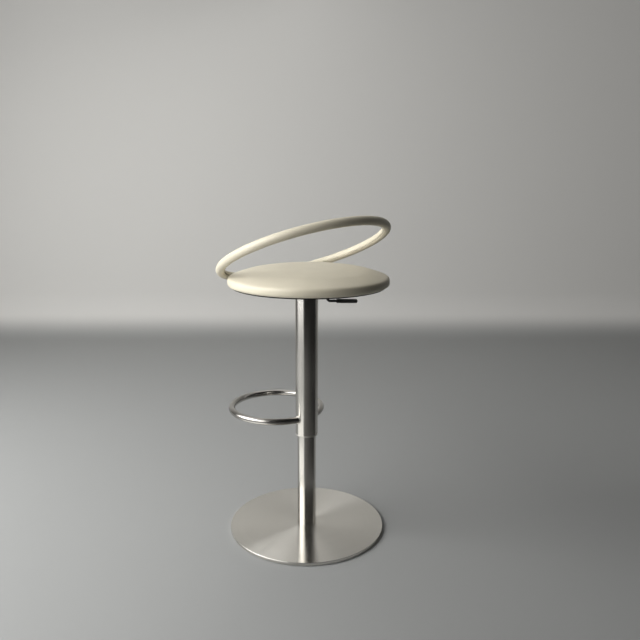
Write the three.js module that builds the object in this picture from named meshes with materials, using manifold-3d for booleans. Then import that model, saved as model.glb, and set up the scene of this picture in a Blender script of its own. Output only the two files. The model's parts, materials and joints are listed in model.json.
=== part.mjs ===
// Diner counter stool: a round padded seat and a tilted hoop backrest on a telescoping gas lift column.
// Millimetres, +Z up. The origin is the centre of the floor contact. The sitter faces -Y.
// The release lever is on the sitter's right, at -X. The hoop is low in front and high behind the sitter.

import * as THREE from 'three';
import * as BufferGeometryUtils from 'three/addons/utils/BufferGeometryUtils.js';
import Module from 'manifold-3d';

const wasm = await Module();
wasm.setup();

// Clearances and cuts
const FIT_GAP = 0.3; // between a piece and what it seats on
const SLIDE_GAP = 0.4; // between a bush and what slides or turns in it
const OVERRUN = 2; // how far a cutting tool passes the piece that it cuts
const MERGE_TOLERANCE = 0.0001;

// Facets round each kind of piece
const DISC_SIDES = 56;
const SEAT_SIDES = 48;
const TUBE_SIDES = 40;
const HOOP_SIDES = 40;
const RING_SIDES = 36;
const SMALL_SIDES = 16;
const SCREW_SIDES = 8;
const HEX_SIDES = 6;
const BALL_SIDES = 6;
const BALL_RINGS = 4;

// Base: rubber pad, steel weight plate and the stainless skin pressed over it
const BASE_DIAMETER = 420;
const SKIN_WALL = 1.2;
const SKIN_EDGE_RADIUS = 1.1;
const SKIN_EDGE_STEPS = 2;
const PAD_DIAMETER = 406;
const PAD_THICKNESS = 1.6;
const PLATE_THICKNESS = 6;
const PLATE_SERVICE_BORE = 19;

// Screws that hold the column's foot on the weight plate
const BASE_SCREW_COUNT = 3;
const BASE_SCREW_CIRCLE = 35;
const BASE_SCREW_DIAMETER = 5.7;
const BASE_SCREW_HEAD_DIAMETER = 11;
const BASE_SCREW_HEAD_HEIGHT = 3;
const BASE_SCREW_LENGTH = 14;

// Column: a fixed lower tube inside an upper tube that moves with the seat
const LOWER_TUBE_DIAMETER = 50;
const LOWER_TUBE_WALL = 1.5;
const LOWER_TUBE_LENGTH = 462;
const UPPER_TUBE_DIAMETER = 60;
const UPPER_TUBE_WALL = 1.5;
const COLLAR_HEIGHT = 269; // floor to the lower end of the collar ring
const COLLAR_RING_THICKNESS = 2.4;
const COLLAR_BUSH_LENGTH = 28;
const TUBE_FOOT_THICKNESS = 12;
const GUIDE_BUSH_LENGTH = 70;
const GUIDE_BUSH_FLANGE = 2.5;
const GUIDE_BUSH_FLANGE_DIAMETER = 49.4;

// Lift: how far the seat goes down and up from the height in the photograph
const LIFT_DOWN = 130;
const LIFT_UP = 70;
const STOP_GAP = 0.7;

// Piston rod, its thrust bearing and what retains them in the column's foot
const ROD_DIAMETER = 10;
const ROD_SHANK_DIAMETER = 8;
const ROD_TAIL_LENGTH = 4.3; // shank below the column's foot
const ROD_NOSE_DIAMETER = 6;
const ROD_GROOVE_DIAMETER = 6.4;
const RACE_DIAMETER = 24;
const RACE_THICKNESS = 1.5;
const BALL_DIAMETER = 3;
const BALL_COUNT = 8;
const BALL_CIRCLE = 16.4;
const CAGE_DIAMETER = 22;
const CAGE_BORE = 10.8;
const CAGE_THICKNESS = 1.6;
const ROD_WASHER_DIAMETER = 16;
const ROD_WASHER_THICKNESS = 1.2;
const ROD_CLIP_DIAMETER = 13;
const ROD_CLIP_THICKNESS = 1.2;
const ROD_CLIP_MOUTH = 5;
const BUFFER_DIAMETER = 24;
const BUFFER_LENGTH = 30;
const PISTON_LENGTH = 14;
const PISTON_NUT_DIAMETER = 11;
const PISTON_NUT_THICKNESS = 4;
const PISTON_NOSE_SPARE = 1;

// Gas cylinder and what it holds
const CYLINDER_DIAMETER = 28;
const CYLINDER_WALL = 1.6;
const CYLINDER_CONE_LENGTH = 34;
const CYLINDER_CONE_TOP_DIAMETER = 26.4;
const CYLINDER_LIP = 1.5;
const CYLINDER_MOUTH_DIAMETER = 13;
const CYLINDER_CROWN = 2.2;
const ROD_GUIDE_LENGTH = 20;
const ROD_SEAL_LENGTH = 6;
const VALVE_BODY_LENGTH = 52;
const VALVE_PIN_DIAMETER = 6;
const VALVE_PIN_LENGTH = 56;
const VALVE_PIN_RISE = 6.2; // valve pin above the cylinder

// Seat mechanism: a pressed steel tray with a cone socket, under the seat board
const SEAT_UNDERSIDE = 676; // floor to the lower face of the bottom cover
const TRAY_DEPTH = 33;
const TRAY_WALL = 2.5;
const TRAY_LENGTH = 90;
const TRAY_WIDTH = 64;
const TRAY_CORNER = 10;
const FLANGE_LENGTH = 174;
const FLANGE_WIDTH = 144;
const FLANGE_CORNER = 14;
const CORNER_STEPS = 1; // per eighth of a turn
const SOCKET_DIAMETER = 36;
const SOCKET_LENGTH = 28.5;
const SOCKET_RISE = 11.5; // socket above the tray's underside
const CYLINDER_RISE = 13.5; // cylinder above the tray's underside
const TOP_RING_THICKNESS = 10;
const COLUMN_SCREW_COUNT = 3;
const COLUMN_SCREW_CIRCLE = 46.6;
const COLUMN_SCREW_DIAMETER = 4.6;
const COLUMN_SCREW_HEAD_DIAMETER = 8;
const COLUMN_SCREW_HEAD_HEIGHT = 3;
const COLUMN_SCREW_REACH = 9; // shank below the tray's underside

// Release lever: a bent rod with a plastic grip, riveted in a small bracket
const LEVER_ROD_DIAMETER = 8;
const LEVER_PIVOT_REACH = 35; // column axis to the pivot
const LEVER_INNER_REACH = 10; // rod past the column axis
const LEVER_INNER_SLOPE = 12.5; // degrees
const LEVER_KNEE_REACH = 62;
const LEVER_BEND_REACH = 79;
const LEVER_BEND_DROP = 33.4;
const LEVER_TIP_REACH = 191;
const LEVER_ARM_SLOPE = 7.5; // degrees
const LEVER_BEND_TRIM = 8;
const LEVER_ROD_STEPS = 24;
const LEVER_ROD_SIDES = 5; // per half turn
const GRIP_DIAMETER = 11.8;
const GRIP_LENGTH = 78;
const GRIP_END_WALL = 6;
const GRIP_ROUNDING = 3;
const GRIP_SHOULDER = 1; // how far the round end's middle point lies inside its corner
const PIVOT_BRACKET_LENGTH = 12;
const PIVOT_BRACKET_WALL = 2;
const PIVOT_SIDE_GAP = 0.6;
const PIVOT_EAR_RISE = 5.5;
const RIVET_DIAMETER = 5;
const RIVET_HEAD_DIAMETER = 9;
const RIVET_HEAD_THICKNESS = 1.5;
const LEVER_SLOT_WIDTH = 10;
const LEVER_SLOT_BELOW = 7;
const LEVER_SLOT_ABOVE = 11;

// Seat: plywood board, foam, leather cover and black bottom cover
const SEAT_SETBACK = 8; // seat centre behind the column axis
const SEAT_DIAMETER = 417.2;
const SEAT_SWELL = 9.1; // how far the cushion's side stands out past its bottom
const SEAT_SIDE_HEIGHT = 20.5;
const SEAT_CROWN_HEIGHT = 28.5;
const LEATHER_THICKNESS = 1.4;
const LEATHER_HEM = 15.5; // leather turned in under the board
const BOARD_INSET = 11.6; // seat's edge to the board's edge
const BOARD_THICKNESS = 12;
const BOTTOM_COVER_INSET = 10.1; // seat's edge to the bottom cover's edge
const BOTTOM_COVER_CLEARANCE = 4; // round the mechanism's flange
const BOTTOM_COVER_THICKNESS = 2.8;

// Side of the cushion, bottom up: share of the swell beyond the bottom, share of the side's height
const SIDE_SHARES = [
  [0, 0],
  [0.55, 0.07],
  [0.9, 0.24],
  [1, 0.46],
  [0.99, 0.73],
  [0.84, 1],
];
// Crown of the cushion, rim to centre: share of the radius, share of the crown's height
const CROWN_SHARES = [
  [0.975, 0.1],
  [0.94, 0.2],
  [0.875, 0.345],
  [0.8, 0.505],
  [0.72, 0.645],
  [0.48, 0.88],
  [0.24, 0.97],
  [0, 1],
];

// Bolts of the mechanism, with their tee nuts
const SEAT_BOLT_SPREAD = 75; // half the distance along X
const SEAT_BOLT_DEPTH = 60; // half the distance along Y
const SEAT_BOLT_DIAMETER = 5.8;
const SEAT_BOLT_HEAD_DIAMETER = 11;
const SEAT_BOLT_HEAD_HEIGHT = 4;
const SEAT_BOLT_REACH = 10; // shank into the board
const TEE_NUT_WALL = 1;
const TEE_NUT_FLANGE_DIAMETER = 18;
const TEE_NUT_FLANGE_THICKNESS = 1.2;
const TEE_NUT_GAP = 0.1; // under the nut's flange

// Screws of the bottom cover
const COVER_SCREW_COUNT = 4;
const COVER_SCREW_INSET = 6; // board's edge to the screws
const COVER_SCREW_DIAMETER = 3.6;
const COVER_SCREW_HEAD_DIAMETER = 7.2;
const COVER_SCREW_HEAD_HEIGHT = 1.8;
const COVER_SCREW_REACH = 9; // shank into the board

// Hoop backrest: steel bar, foam sleeve and leather wrap with its seam on the inside
const HOOP_OVERSIZE = 21.8; // centreline diameter beyond the seat's diameter
const HOOP_TILT = 23.4; // degrees
const HOOP_TURN = -3.2; // degrees about the column, against the foot ring
const HOOP_FRONT_OVERHANG = 11.5; // low point's centreline in front of the seat's edge
const HOOP_LOW_RISE = 1.6; // low point's centreline above the seat's underside
const HOOP_BAR_DIAMETER = 12;
const HOOP_WRAP_DIAMETER = 22.8;
const HOOP_LEATHER = 1.2;
const HOOP_SEAM_WIDTH = 0.8;
const HOOP_WRAP_SIDES = 12;
const HOOP_LINING_SIDES = 6;
const HOOP_BAR_SIDES = 8;

// Bracket between the hoop's low point and the seat board
const HOOP_BRACKET_WIDTH = 40;
const HOOP_BRACKET_THICKNESS = 4;
const HOOP_BRACKET_LENGTH = 97; // back from the hoop's low point
const HOOP_BOLT_SETBACKS = [82, 50]; // each bolt behind the hoop's low point
const HOOP_BOLT_DIAMETER = 5.8;
const HOOP_BOLT_HEAD_DIAMETER = 11;
const HOOP_BOLT_HEAD_HEIGHT = 4;
const HOOP_BOLT_REACH = 9; // shank into the board

// Foot ring: a tube bent round in front of the column, its two ends coped to the upper tube
const FOOT_RING_DIAMETER = 250; // centreline
const FOOT_RING_TUBE = 18;
const FOOT_RING_WALL = 1.5;
const FOOT_RING_RISE = 46; // above the upper tube's lower end
const FOOT_RING_TUBE_SIDES = 12;
const FOOT_RING_BORE_SIDES = 6;

// Heights that follow, floor upward
const PLATE_Z = PAD_THICKNESS + FIT_GAP;
const PLATE_TOP = PLATE_Z + PLATE_THICKNESS;
const COLUMN_Z = PLATE_TOP + FIT_GAP;
const BASE_TOP = COLUMN_Z + SKIN_WALL;
const LOWER_TUBE_TOP = COLUMN_Z + LOWER_TUBE_LENGTH;
const TUBE_FOOT_TOP = COLUMN_Z + TUBE_FOOT_THICKNESS;
const LOWER_RACE_Z = TUBE_FOOT_TOP + FIT_GAP;
const BALL_Z = LOWER_RACE_Z + RACE_THICKNESS + FIT_GAP;
const UPPER_RACE_Z = BALL_Z + BALL_DIAMETER + FIT_GAP;
const ROD_SHOULDER_Z = UPPER_RACE_Z + RACE_THICKNESS + FIT_GAP;
const BUFFER_TOP = ROD_SHOULDER_Z + BUFFER_LENGTH;
const CYLINDER_Z = BUFFER_TOP + STOP_GAP + LIFT_DOWN;
const ROD_GUIDE_Z = CYLINDER_Z + CYLINDER_LIP + FIT_GAP;
const ROD_SEAL_Z = ROD_GUIDE_Z + ROD_GUIDE_LENGTH + FIT_GAP;
const PISTON_Z = ROD_SEAL_Z + ROD_SEAL_LENGTH + LIFT_UP + STOP_GAP;
const ROD_WASHER_Z = COLUMN_Z - FIT_GAP - ROD_WASHER_THICKNESS;
const ROD_CLIP_Z = ROD_WASHER_Z - FIT_GAP - ROD_CLIP_THICKNESS;
const ROD_TAIL_Z = COLUMN_Z - ROD_TAIL_LENGTH;

// Heights that follow, seat underside upward and downward
const HEM_Z = SEAT_UNDERSIDE + BOTTOM_COVER_THICKNESS + FIT_GAP;
const BOARD_Z = HEM_Z + LEATHER_THICKNESS + FIT_GAP;
const BOARD_TOP = BOARD_Z + BOARD_THICKNESS;
const FLANGE_TOP = BOARD_Z - FIT_GAP;
const FLANGE_Z = FLANGE_TOP - TRAY_WALL;
const TRAY_Z = FLANGE_TOP - TRAY_DEPTH;
const TRAY_FLOOR = TRAY_Z + TRAY_WALL;
const UPPER_TUBE_Z = COLLAR_HEIGHT + COLLAR_RING_THICKNESS + FIT_GAP;
const UPPER_TUBE_TOP = TRAY_Z - FIT_GAP;
const UPPER_TUBE_LENGTH = UPPER_TUBE_TOP - UPPER_TUBE_Z;
const SOCKET_TOP = TRAY_Z + SOCKET_RISE;
const CYLINDER_TOP = TRAY_Z + CYLINDER_RISE;
const CYLINDER_LENGTH = CYLINDER_TOP - CYLINDER_Z;
const TOP_RING_Z = UPPER_TUBE_TOP - TOP_RING_THICKNESS;

// Radii that follow
const LOWER_TUBE_BORE_RADIUS = LOWER_TUBE_DIAMETER / 2 - LOWER_TUBE_WALL;
const UPPER_TUBE_BORE_RADIUS = UPPER_TUBE_DIAMETER / 2 - UPPER_TUBE_WALL;
const CYLINDER_BORE_RADIUS = CYLINDER_DIAMETER / 2 - CYLINDER_WALL;
const BUSH_BORE_RADIUS = LOWER_TUBE_DIAMETER / 2 + SLIDE_GAP;
const SEAT_RADIUS = SEAT_DIAMETER / 2;
const SEAT_BOTTOM_RADIUS = SEAT_RADIUS - SEAT_SWELL;
const BOARD_RADIUS = SEAT_RADIUS - BOARD_INSET;
const BOTTOM_COVER_RADIUS = SEAT_RADIUS - BOTTOM_COVER_INSET;
const COVER_SCREW_CIRCLE = (BOARD_RADIUS - COVER_SCREW_INSET) * 2;
const HOOP_RADIUS = SEAT_RADIUS + HOOP_OVERSIZE / 2;
const FOOT_RING_RADIUS = FOOT_RING_DIAMETER / 2;
const FOOT_RING_HEIGHT = COLLAR_HEIGHT + FOOT_RING_RISE;

// Lever geometry in its own frame: the pivot is the origin, the arm runs along -X
const LEVER_SLOPE_ANGLE = THREE.MathUtils.degToRad(LEVER_INNER_SLOPE);
const LEVER_ARM_ANGLE = THREE.MathUtils.degToRad(LEVER_ARM_SLOPE);
const PIN_LOW_SIDE = VALVE_PIN_DIAMETER / 2;
const ROD_SLANT_RADIUS = LEVER_ROD_DIAMETER / 2 / Math.cos(LEVER_SLOPE_ANGLE);
const VALVE_PIN_TOP = CYLINDER_TOP + VALVE_PIN_RISE;
const LEVER_PIVOT_DROP = (LEVER_PIVOT_REACH - PIN_LOW_SIDE) * Math.tan(LEVER_SLOPE_ANGLE);
const LEVER_PIVOT_Z = VALVE_PIN_TOP + FIT_GAP + ROD_SLANT_RADIUS - LEVER_PIVOT_DROP;

// Where the hoop stands: its low point keeps its place at the seat's front edge
const HOOP_TILT_ANGLE = THREE.MathUtils.degToRad(HOOP_TILT);
const HOOP_TURN_ANGLE = THREE.MathUtils.degToRad(HOOP_TURN);
const HOOP_LOW_REACH = SEAT_RADIUS - SEAT_SETBACK + HOOP_FRONT_OVERHANG;
const HOOP_ADVANCE = HOOP_LOW_REACH - HOOP_RADIUS * Math.cos(HOOP_TILT_ANGLE);
const HOOP_CENTRE_HEIGHT = SEAT_UNDERSIDE + HOOP_LOW_RISE + HOOP_RADIUS * Math.sin(HOOP_TILT_ANGLE);

// Looks: colour, roughness and metalness from the photograph
const BRUSHED_STEEL = { color: 0xb4b0a8, roughness: 0.34, metalness: 1 };
const BASE_STEEL = { color: 0xaaa69e, roughness: 0.38, metalness: 1 };
const PLAIN_STEEL = { color: 0x8a8d90, roughness: 0.45, metalness: 1 };
const ZINC_STEEL = { color: 0xa8abae, roughness: 0.4, metalness: 1 };
const BLACK_STEEL = { color: 0x1d1d1e, roughness: 0.5, metalness: 0.6 };
const CREAM_LEATHER = { color: 0xdcd4be, roughness: 0.55, metalness: 0 };
const BLACK_PLASTIC = { color: 0x1c1b1c, roughness: 0.5, metalness: 0 };
const NYLON = { color: 0xd8d6cf, roughness: 0.6, metalness: 0 };
const BLACK_RUBBER = { color: 0x181818, roughness: 0.85, metalness: 0 };
const FOAM = { color: 0xe6dfae, roughness: 0.95, metalness: 0 };
const PLYWOOD = { color: 0xc49a62, roughness: 0.7, metalness: 0 };

// Merges equal points and drops the flat triangles that a lathe leaves on its axis
function welded(geometry) {
  const bare = new THREE.BufferGeometry();
  bare.setAttribute('position', geometry.getAttribute('position').clone());
  if (geometry.index) bare.setIndex(Array.from(geometry.index.array));
  const merged = BufferGeometryUtils.mergeVertices(bare, MERGE_TOLERANCE);
  const corners = merged.index.array;
  const kept = [];
  for (let i = 0; i < corners.length; i += 3) {
    const [a, b, c] = [corners[i], corners[i + 1], corners[i + 2]];
    if (a !== b && b !== c && c !== a) kept.push(a, b, c);
  }
  merged.setIndex(kept);
  return signedVolume(merged) < 0 ? turnedOver(merged) : merged;
}

function signedVolume(geometry) {
  const points = geometry.getAttribute('position');
  const corners = geometry.index.array;
  const [a, b, c] = [new THREE.Vector3(), new THREE.Vector3(), new THREE.Vector3()];
  let sum = 0;
  for (let i = 0; i < corners.length; i += 3) {
    a.fromBufferAttribute(points, corners[i]);
    b.fromBufferAttribute(points, corners[i + 1]);
    c.fromBufferAttribute(points, corners[i + 2]);
    sum += a.dot(b.cross(c));
  }
  return sum;
}

function turnedOver(geometry) {
  const corners = geometry.index.array;
  const turned = [];
  for (let i = 0; i < corners.length; i += 3) turned.push(corners[i], corners[i + 2], corners[i + 1]);
  geometry.setIndex(turned);
  return geometry;
}

function toSolid(geometry) {
  const mesh = welded(geometry);
  const vertProperties = new Float32Array(mesh.getAttribute('position').array);
  const triVerts = new Uint32Array(mesh.index.array);
  return new wasm.Manifold(new wasm.Mesh({ numProp: 3, vertProperties, triVerts }));
}

function toGeometry(solid) {
  const mesh = solid.getMesh();
  const geometry = new THREE.BufferGeometry();
  geometry.setAttribute('position', new THREE.BufferAttribute(new Float32Array(mesh.vertProperties), 3));
  geometry.setIndex(Array.from(mesh.triVerts));
  geometry.computeVertexNormals();
  return geometry;
}

function cutBy(geometry, tools) {
  let solid = toSolid(geometry);
  for (const tool of tools) solid = solid.subtract(toSolid(tool));
  return toGeometry(solid);
}

function joined(geometries) {
  let solid = toSolid(geometries[0]);
  for (const other of geometries.slice(1)) solid = solid.add(toSolid(other));
  return toGeometry(solid);
}

// Turns an outline of [radius, height] points about Z. The outline ends on the axis or closes on itself.
function turned(outline, sides) {
  const points = outline.map(([radius, height]) => new THREE.Vector2(radius, height));
  const onAxis = outline[0][0] === 0 && outline[outline.length - 1][0] === 0;
  if (!onAxis) points.push(points[0].clone());
  const geometry = new THREE.LatheGeometry(points, sides);
  geometry.rotateX(Math.PI / 2);
  return welded(geometry);
}

function disc(radius, height, sides) {
  return turned([[0, 0], [radius, 0], [radius, height], [0, height]], sides);
}

function hollowDisc(bore, radius, height, sides) {
  return turned([[bore, 0], [radius, 0], [radius, height], [bore, height]], sides);
}

function box(width, depth, height) {
  const geometry = new THREE.BoxGeometry(width, depth, height);
  geometry.translate(0, 0, height / 2);
  return geometry;
}

// A flat plate with round corners, centred on the axis, its lower face at zero
function roundedPlate(width, depth, corner, thickness) {
  const shape = new THREE.Shape();
  const [x, y] = [width / 2 - corner, depth / 2 - corner];
  shape.absarc(x, y, corner, 0, Math.PI / 2);
  shape.absarc(-x, y, corner, Math.PI / 2, Math.PI);
  shape.absarc(-x, -y, corner, Math.PI, Math.PI * 1.5);
  shape.absarc(x, -y, corner, Math.PI * 1.5, Math.PI * 2);
  const options = { depth: thickness, bevelEnabled: false, curveSegments: CORNER_STEPS };
  return new THREE.ExtrudeGeometry(shape, options);
}

function moved(geometry, x, y, z) {
  return geometry.clone().translate(x, y, z);
}

function piece(name, geometry, look, z = 0) {
  const mesh = new THREE.Mesh(geometry, new THREE.MeshStandardMaterial(look));
  mesh.name = name;
  mesh.position.z = z;
  return mesh;
}

// Places on a circle, the first one on the +X side turned by a start angle
function circlePlaces(count, diameter, start = 0) {
  const places = [];
  for (let i = 0; i < count; i += 1) {
    const angle = start + (i / count) * Math.PI * 2;
    places.push([Math.cos(angle) * diameter / 2, Math.sin(angle) * diameter / 2]);
  }
  return places;
}

const baseScrewPlaces = circlePlaces(BASE_SCREW_COUNT, BASE_SCREW_CIRCLE);
const columnScrewPlaces = circlePlaces(COLUMN_SCREW_COUNT, COLUMN_SCREW_CIRCLE);
const coverScrewPlaces = circlePlaces(COVER_SCREW_COUNT, COVER_SCREW_CIRCLE, Math.PI / COVER_SCREW_COUNT);
const seatBoltPlaces = [[1, 1], [-1, 1], [-1, -1], [1, -1]]
  .map(([x, y]) => [x * SEAT_BOLT_SPREAD, y * SEAT_BOLT_DEPTH]);
// The hoop's bolts in the backrest's own frame, and their holes in the seat, which the backrest's turn moves
const hoopBoltPlaces = HOOP_BOLT_SETBACKS.map((setback) => [0, setback - HOOP_LOW_REACH]);
const hoopHolePlaces = hoopBoltPlaces
  .map(([x, y]) => new THREE.Vector2(x, y).rotateAround(new THREE.Vector2(), HOOP_TURN_ANGLE).toArray());

// Base

function floorPad() {
  return piece('floor_pad', disc(PAD_DIAMETER / 2, PAD_THICKNESS, DISC_SIDES), BLACK_RUBBER);
}

// Outline of a countersunk screw, or of the hole for it when it is grown and starts below its head
function countersunk(growth, lead) {
  const head = BASE_SCREW_HEAD_DIAMETER / 2 + growth;
  const shank = BASE_SCREW_DIAMETER / 2 + growth;
  const end = BASE_SCREW_LENGTH + growth;
  const flat = lead > 0 ? [[head, -lead]] : [];
  return [[0, -lead], ...flat, [head, 0], [shank, BASE_SCREW_HEAD_HEIGHT], [shank, end], [0, end]];
}

function basePlate() {
  const radius = BASE_DIAMETER / 2 - SKIN_WALL - SLIDE_GAP;
  const hole = turned(countersunk(FIT_GAP, OVERRUN), SCREW_SIDES);
  const holes = baseScrewPlaces.map(([x, y]) => moved(hole, x, y, 0));
  const plate = hollowDisc(PLATE_SERVICE_BORE / 2, radius, PLATE_THICKNESS, DISC_SIDES);
  return piece('base_plate', cutBy(plate, holes), PLAIN_STEEL, PLATE_Z);
}

function baseSkin() {
  const outer = BASE_DIAMETER / 2;
  const height = BASE_TOP - PLATE_Z;
  const bore = LOWER_TUBE_DIAMETER / 2 + FIT_GAP;
  const outline = [[outer - SKIN_WALL, 0], [outer, 0]];
  for (let i = 0; i <= SKIN_EDGE_STEPS; i += 1) {
    const angle = (i / SKIN_EDGE_STEPS) * Math.PI / 2;
    const r = outer - SKIN_EDGE_RADIUS * (1 - Math.cos(angle));
    outline.push([r, height - SKIN_EDGE_RADIUS * (1 - Math.sin(angle))]);
  }
  outline.push([bore, height], [bore, height - SKIN_WALL], [outer - SKIN_WALL, height - SKIN_WALL]);
  return piece('base_cover', turned(outline, DISC_SIDES), BASE_STEEL, PLATE_Z);
}

function baseScrews() {
  return baseScrewPlaces.map(([x, y], i) => {
    const screw = piece(`base_screw_${i + 1}`, turned(countersunk(0, 0), SCREW_SIDES), ZINC_STEEL, PLATE_Z);
    screw.position.x = x;
    screw.position.y = y;
    return screw;
  });
}

function lowerTube() {
  const geometry = hollowDisc(LOWER_TUBE_BORE_RADIUS, LOWER_TUBE_DIAMETER / 2, LOWER_TUBE_LENGTH, TUBE_SIDES);
  return piece('lower_tube', geometry, BRUSHED_STEEL, COLUMN_Z);
}

function tubeFoot() {
  const bore = ROD_SHANK_DIAMETER / 2 + SLIDE_GAP;
  const foot = hollowDisc(bore, LOWER_TUBE_BORE_RADIUS - FIT_GAP, TUBE_FOOT_THICKNESS, SMALL_SIDES);
  const hole = turned(countersunk(FIT_GAP, OVERRUN), SCREW_SIDES);
  const holes = baseScrewPlaces.map(([x, y]) => moved(hole, x, y, PLATE_Z - COLUMN_Z));
  return piece('tube_foot', cutBy(foot, holes), PLAIN_STEEL, COLUMN_Z);
}

function lowerRace() {
  const bore = ROD_SHANK_DIAMETER / 2 + SLIDE_GAP;
  const geometry = hollowDisc(bore, RACE_DIAMETER / 2, RACE_THICKNESS, SMALL_SIDES);
  return piece('bearing_lower_race', geometry, ZINC_STEEL, LOWER_RACE_Z);
}

function bearingCage() {
  const cage = hollowDisc(CAGE_BORE / 2, CAGE_DIAMETER / 2, CAGE_THICKNESS, SMALL_SIDES);
  const middle = BALL_DIAMETER / 2;
  const parts = [moved(cage, 0, 0, middle - CAGE_THICKNESS / 2)];
  for (const [x, y] of circlePlaces(BALL_COUNT, BALL_CIRCLE)) {
    parts.push(moved(new THREE.SphereGeometry(BALL_DIAMETER / 2, BALL_SIDES, BALL_RINGS), x, y, middle));
  }
  return piece('bearing_cage', joined(parts), ZINC_STEEL, BALL_Z);
}

function guideBush() {
  const bore = CYLINDER_DIAMETER / 2 + SLIDE_GAP;
  const body = LOWER_TUBE_BORE_RADIUS - FIT_GAP;
  const flange = GUIDE_BUSH_FLANGE_DIAMETER / 2;
  const shoulder = GUIDE_BUSH_LENGTH + FIT_GAP;
  const top = shoulder + GUIDE_BUSH_FLANGE;
  const outline = [[bore, 0], [body, 0], [body, shoulder], [flange, shoulder], [flange, top], [bore, top]];
  return piece('guide_bush', turned(outline, SMALL_SIDES), NYLON, LOWER_TUBE_TOP - GUIDE_BUSH_LENGTH);
}

// Piston rod and what turns with it

function pistonRod() {
  const [rod, shank, nose] = [ROD_DIAMETER / 2, ROD_SHANK_DIAMETER / 2, ROD_NOSE_DIAMETER / 2];
  const groove = ROD_GROOVE_DIAMETER / 2;
  const grooveLow = ROD_CLIP_Z - FIT_GAP - ROD_TAIL_Z;
  const grooveHigh = ROD_CLIP_Z + ROD_CLIP_THICKNESS + FIT_GAP - ROD_TAIL_Z;
  const shoulder = ROD_SHOULDER_Z - ROD_TAIL_Z;
  const seat = PISTON_Z - FIT_GAP - ROD_TAIL_Z;
  const top = seat + PISTON_LENGTH + PISTON_NUT_THICKNESS + FIT_GAP * 2 + PISTON_NOSE_SPARE;
  const outline = [[0, 0], [shank, 0], [shank, grooveLow], [groove, grooveLow], [groove, grooveHigh]];
  outline.push([shank, grooveHigh], [shank, shoulder], [rod, shoulder], [rod, seat]);
  outline.push([nose, seat], [nose, top], [0, top]);
  return piece('piston_rod', turned(outline, SMALL_SIDES), ZINC_STEEL, ROD_TAIL_Z);
}

function upperRace() {
  const bore = ROD_SHANK_DIAMETER / 2 + FIT_GAP;
  const geometry = hollowDisc(bore, RACE_DIAMETER / 2, RACE_THICKNESS, SMALL_SIDES);
  return piece('bearing_upper_race', geometry, ZINC_STEEL, UPPER_RACE_Z);
}

function rodWasher() {
  const bore = ROD_SHANK_DIAMETER / 2 + FIT_GAP;
  const geometry = hollowDisc(bore, ROD_WASHER_DIAMETER / 2, ROD_WASHER_THICKNESS, SMALL_SIDES);
  return piece('rod_washer', geometry, ZINC_STEEL, ROD_WASHER_Z);
}

function rodClip() {
  const bore = ROD_GROOVE_DIAMETER / 2 + FIT_GAP;
  const clip = hollowDisc(bore, ROD_CLIP_DIAMETER / 2, ROD_CLIP_THICKNESS, SMALL_SIDES);
  const mouth = box(ROD_CLIP_MOUTH, ROD_CLIP_DIAMETER, ROD_CLIP_THICKNESS + OVERRUN * 2);
  const geometry = cutBy(clip, [moved(mouth, 0, ROD_CLIP_DIAMETER / 2, -OVERRUN)]);
  return piece('rod_clip', geometry, ZINC_STEEL, ROD_CLIP_Z);
}

function rubberBuffer() {
  const geometry = hollowDisc(ROD_DIAMETER / 2 + FIT_GAP, BUFFER_DIAMETER / 2, BUFFER_LENGTH, SMALL_SIDES);
  return piece('rubber_buffer', geometry, BLACK_RUBBER, ROD_SHOULDER_Z);
}

function piston() {
  const radius = CYLINDER_BORE_RADIUS - SLIDE_GAP;
  const geometry = hollowDisc(ROD_NOSE_DIAMETER / 2 + FIT_GAP, radius, PISTON_LENGTH, SMALL_SIDES);
  return piece('piston', geometry, ZINC_STEEL, PISTON_Z);
}

function pistonNut() {
  const nut = disc(PISTON_NUT_DIAMETER / 2, PISTON_NUT_THICKNESS, HEX_SIDES);
  const bore = disc(ROD_NOSE_DIAMETER / 2 + FIT_GAP, PISTON_NUT_THICKNESS + OVERRUN * 2, SMALL_SIDES);
  const geometry = cutBy(nut, [moved(bore, 0, 0, -OVERRUN)]);
  return piece('piston_nut', geometry, ZINC_STEEL, PISTON_Z + PISTON_LENGTH + FIT_GAP);
}

// Gas cylinder

function gasCylinder() {
  const outer = CYLINDER_DIAMETER / 2;
  const top = CYLINDER_CONE_TOP_DIAMETER / 2;
  const mouth = CYLINDER_MOUTH_DIAMETER / 2;
  const pinBore = VALVE_PIN_DIAMETER / 2 + SLIDE_GAP;
  const coneStart = CYLINDER_LENGTH - CYLINDER_CONE_LENGTH;
  const topBore = top - CYLINDER_WALL;
  const ceiling = CYLINDER_LENGTH - CYLINDER_CROWN;
  const outline = [[mouth, 0], [outer, 0], [outer, coneStart], [top, CYLINDER_LENGTH]];
  outline.push([pinBore, CYLINDER_LENGTH], [pinBore, ceiling], [topBore, ceiling]);
  outline.push([CYLINDER_BORE_RADIUS, coneStart]);
  outline.push([CYLINDER_BORE_RADIUS, CYLINDER_LIP], [mouth, CYLINDER_LIP]);
  return piece('gas_cylinder', turned(outline, SMALL_SIDES), BLACK_STEEL, CYLINDER_Z);
}

function rodGuide() {
  const radius = CYLINDER_BORE_RADIUS - FIT_GAP;
  const geometry = hollowDisc(ROD_DIAMETER / 2 + FIT_GAP, radius, ROD_GUIDE_LENGTH, SMALL_SIDES);
  return piece('rod_guide', geometry, ZINC_STEEL, ROD_GUIDE_Z);
}

function rodSeal() {
  const radius = CYLINDER_BORE_RADIUS - FIT_GAP;
  const geometry = hollowDisc(ROD_DIAMETER / 2 + FIT_GAP, radius, ROD_SEAL_LENGTH, SMALL_SIDES);
  return piece('rod_seal', geometry, BLACK_RUBBER, ROD_SEAL_Z);
}

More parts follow.
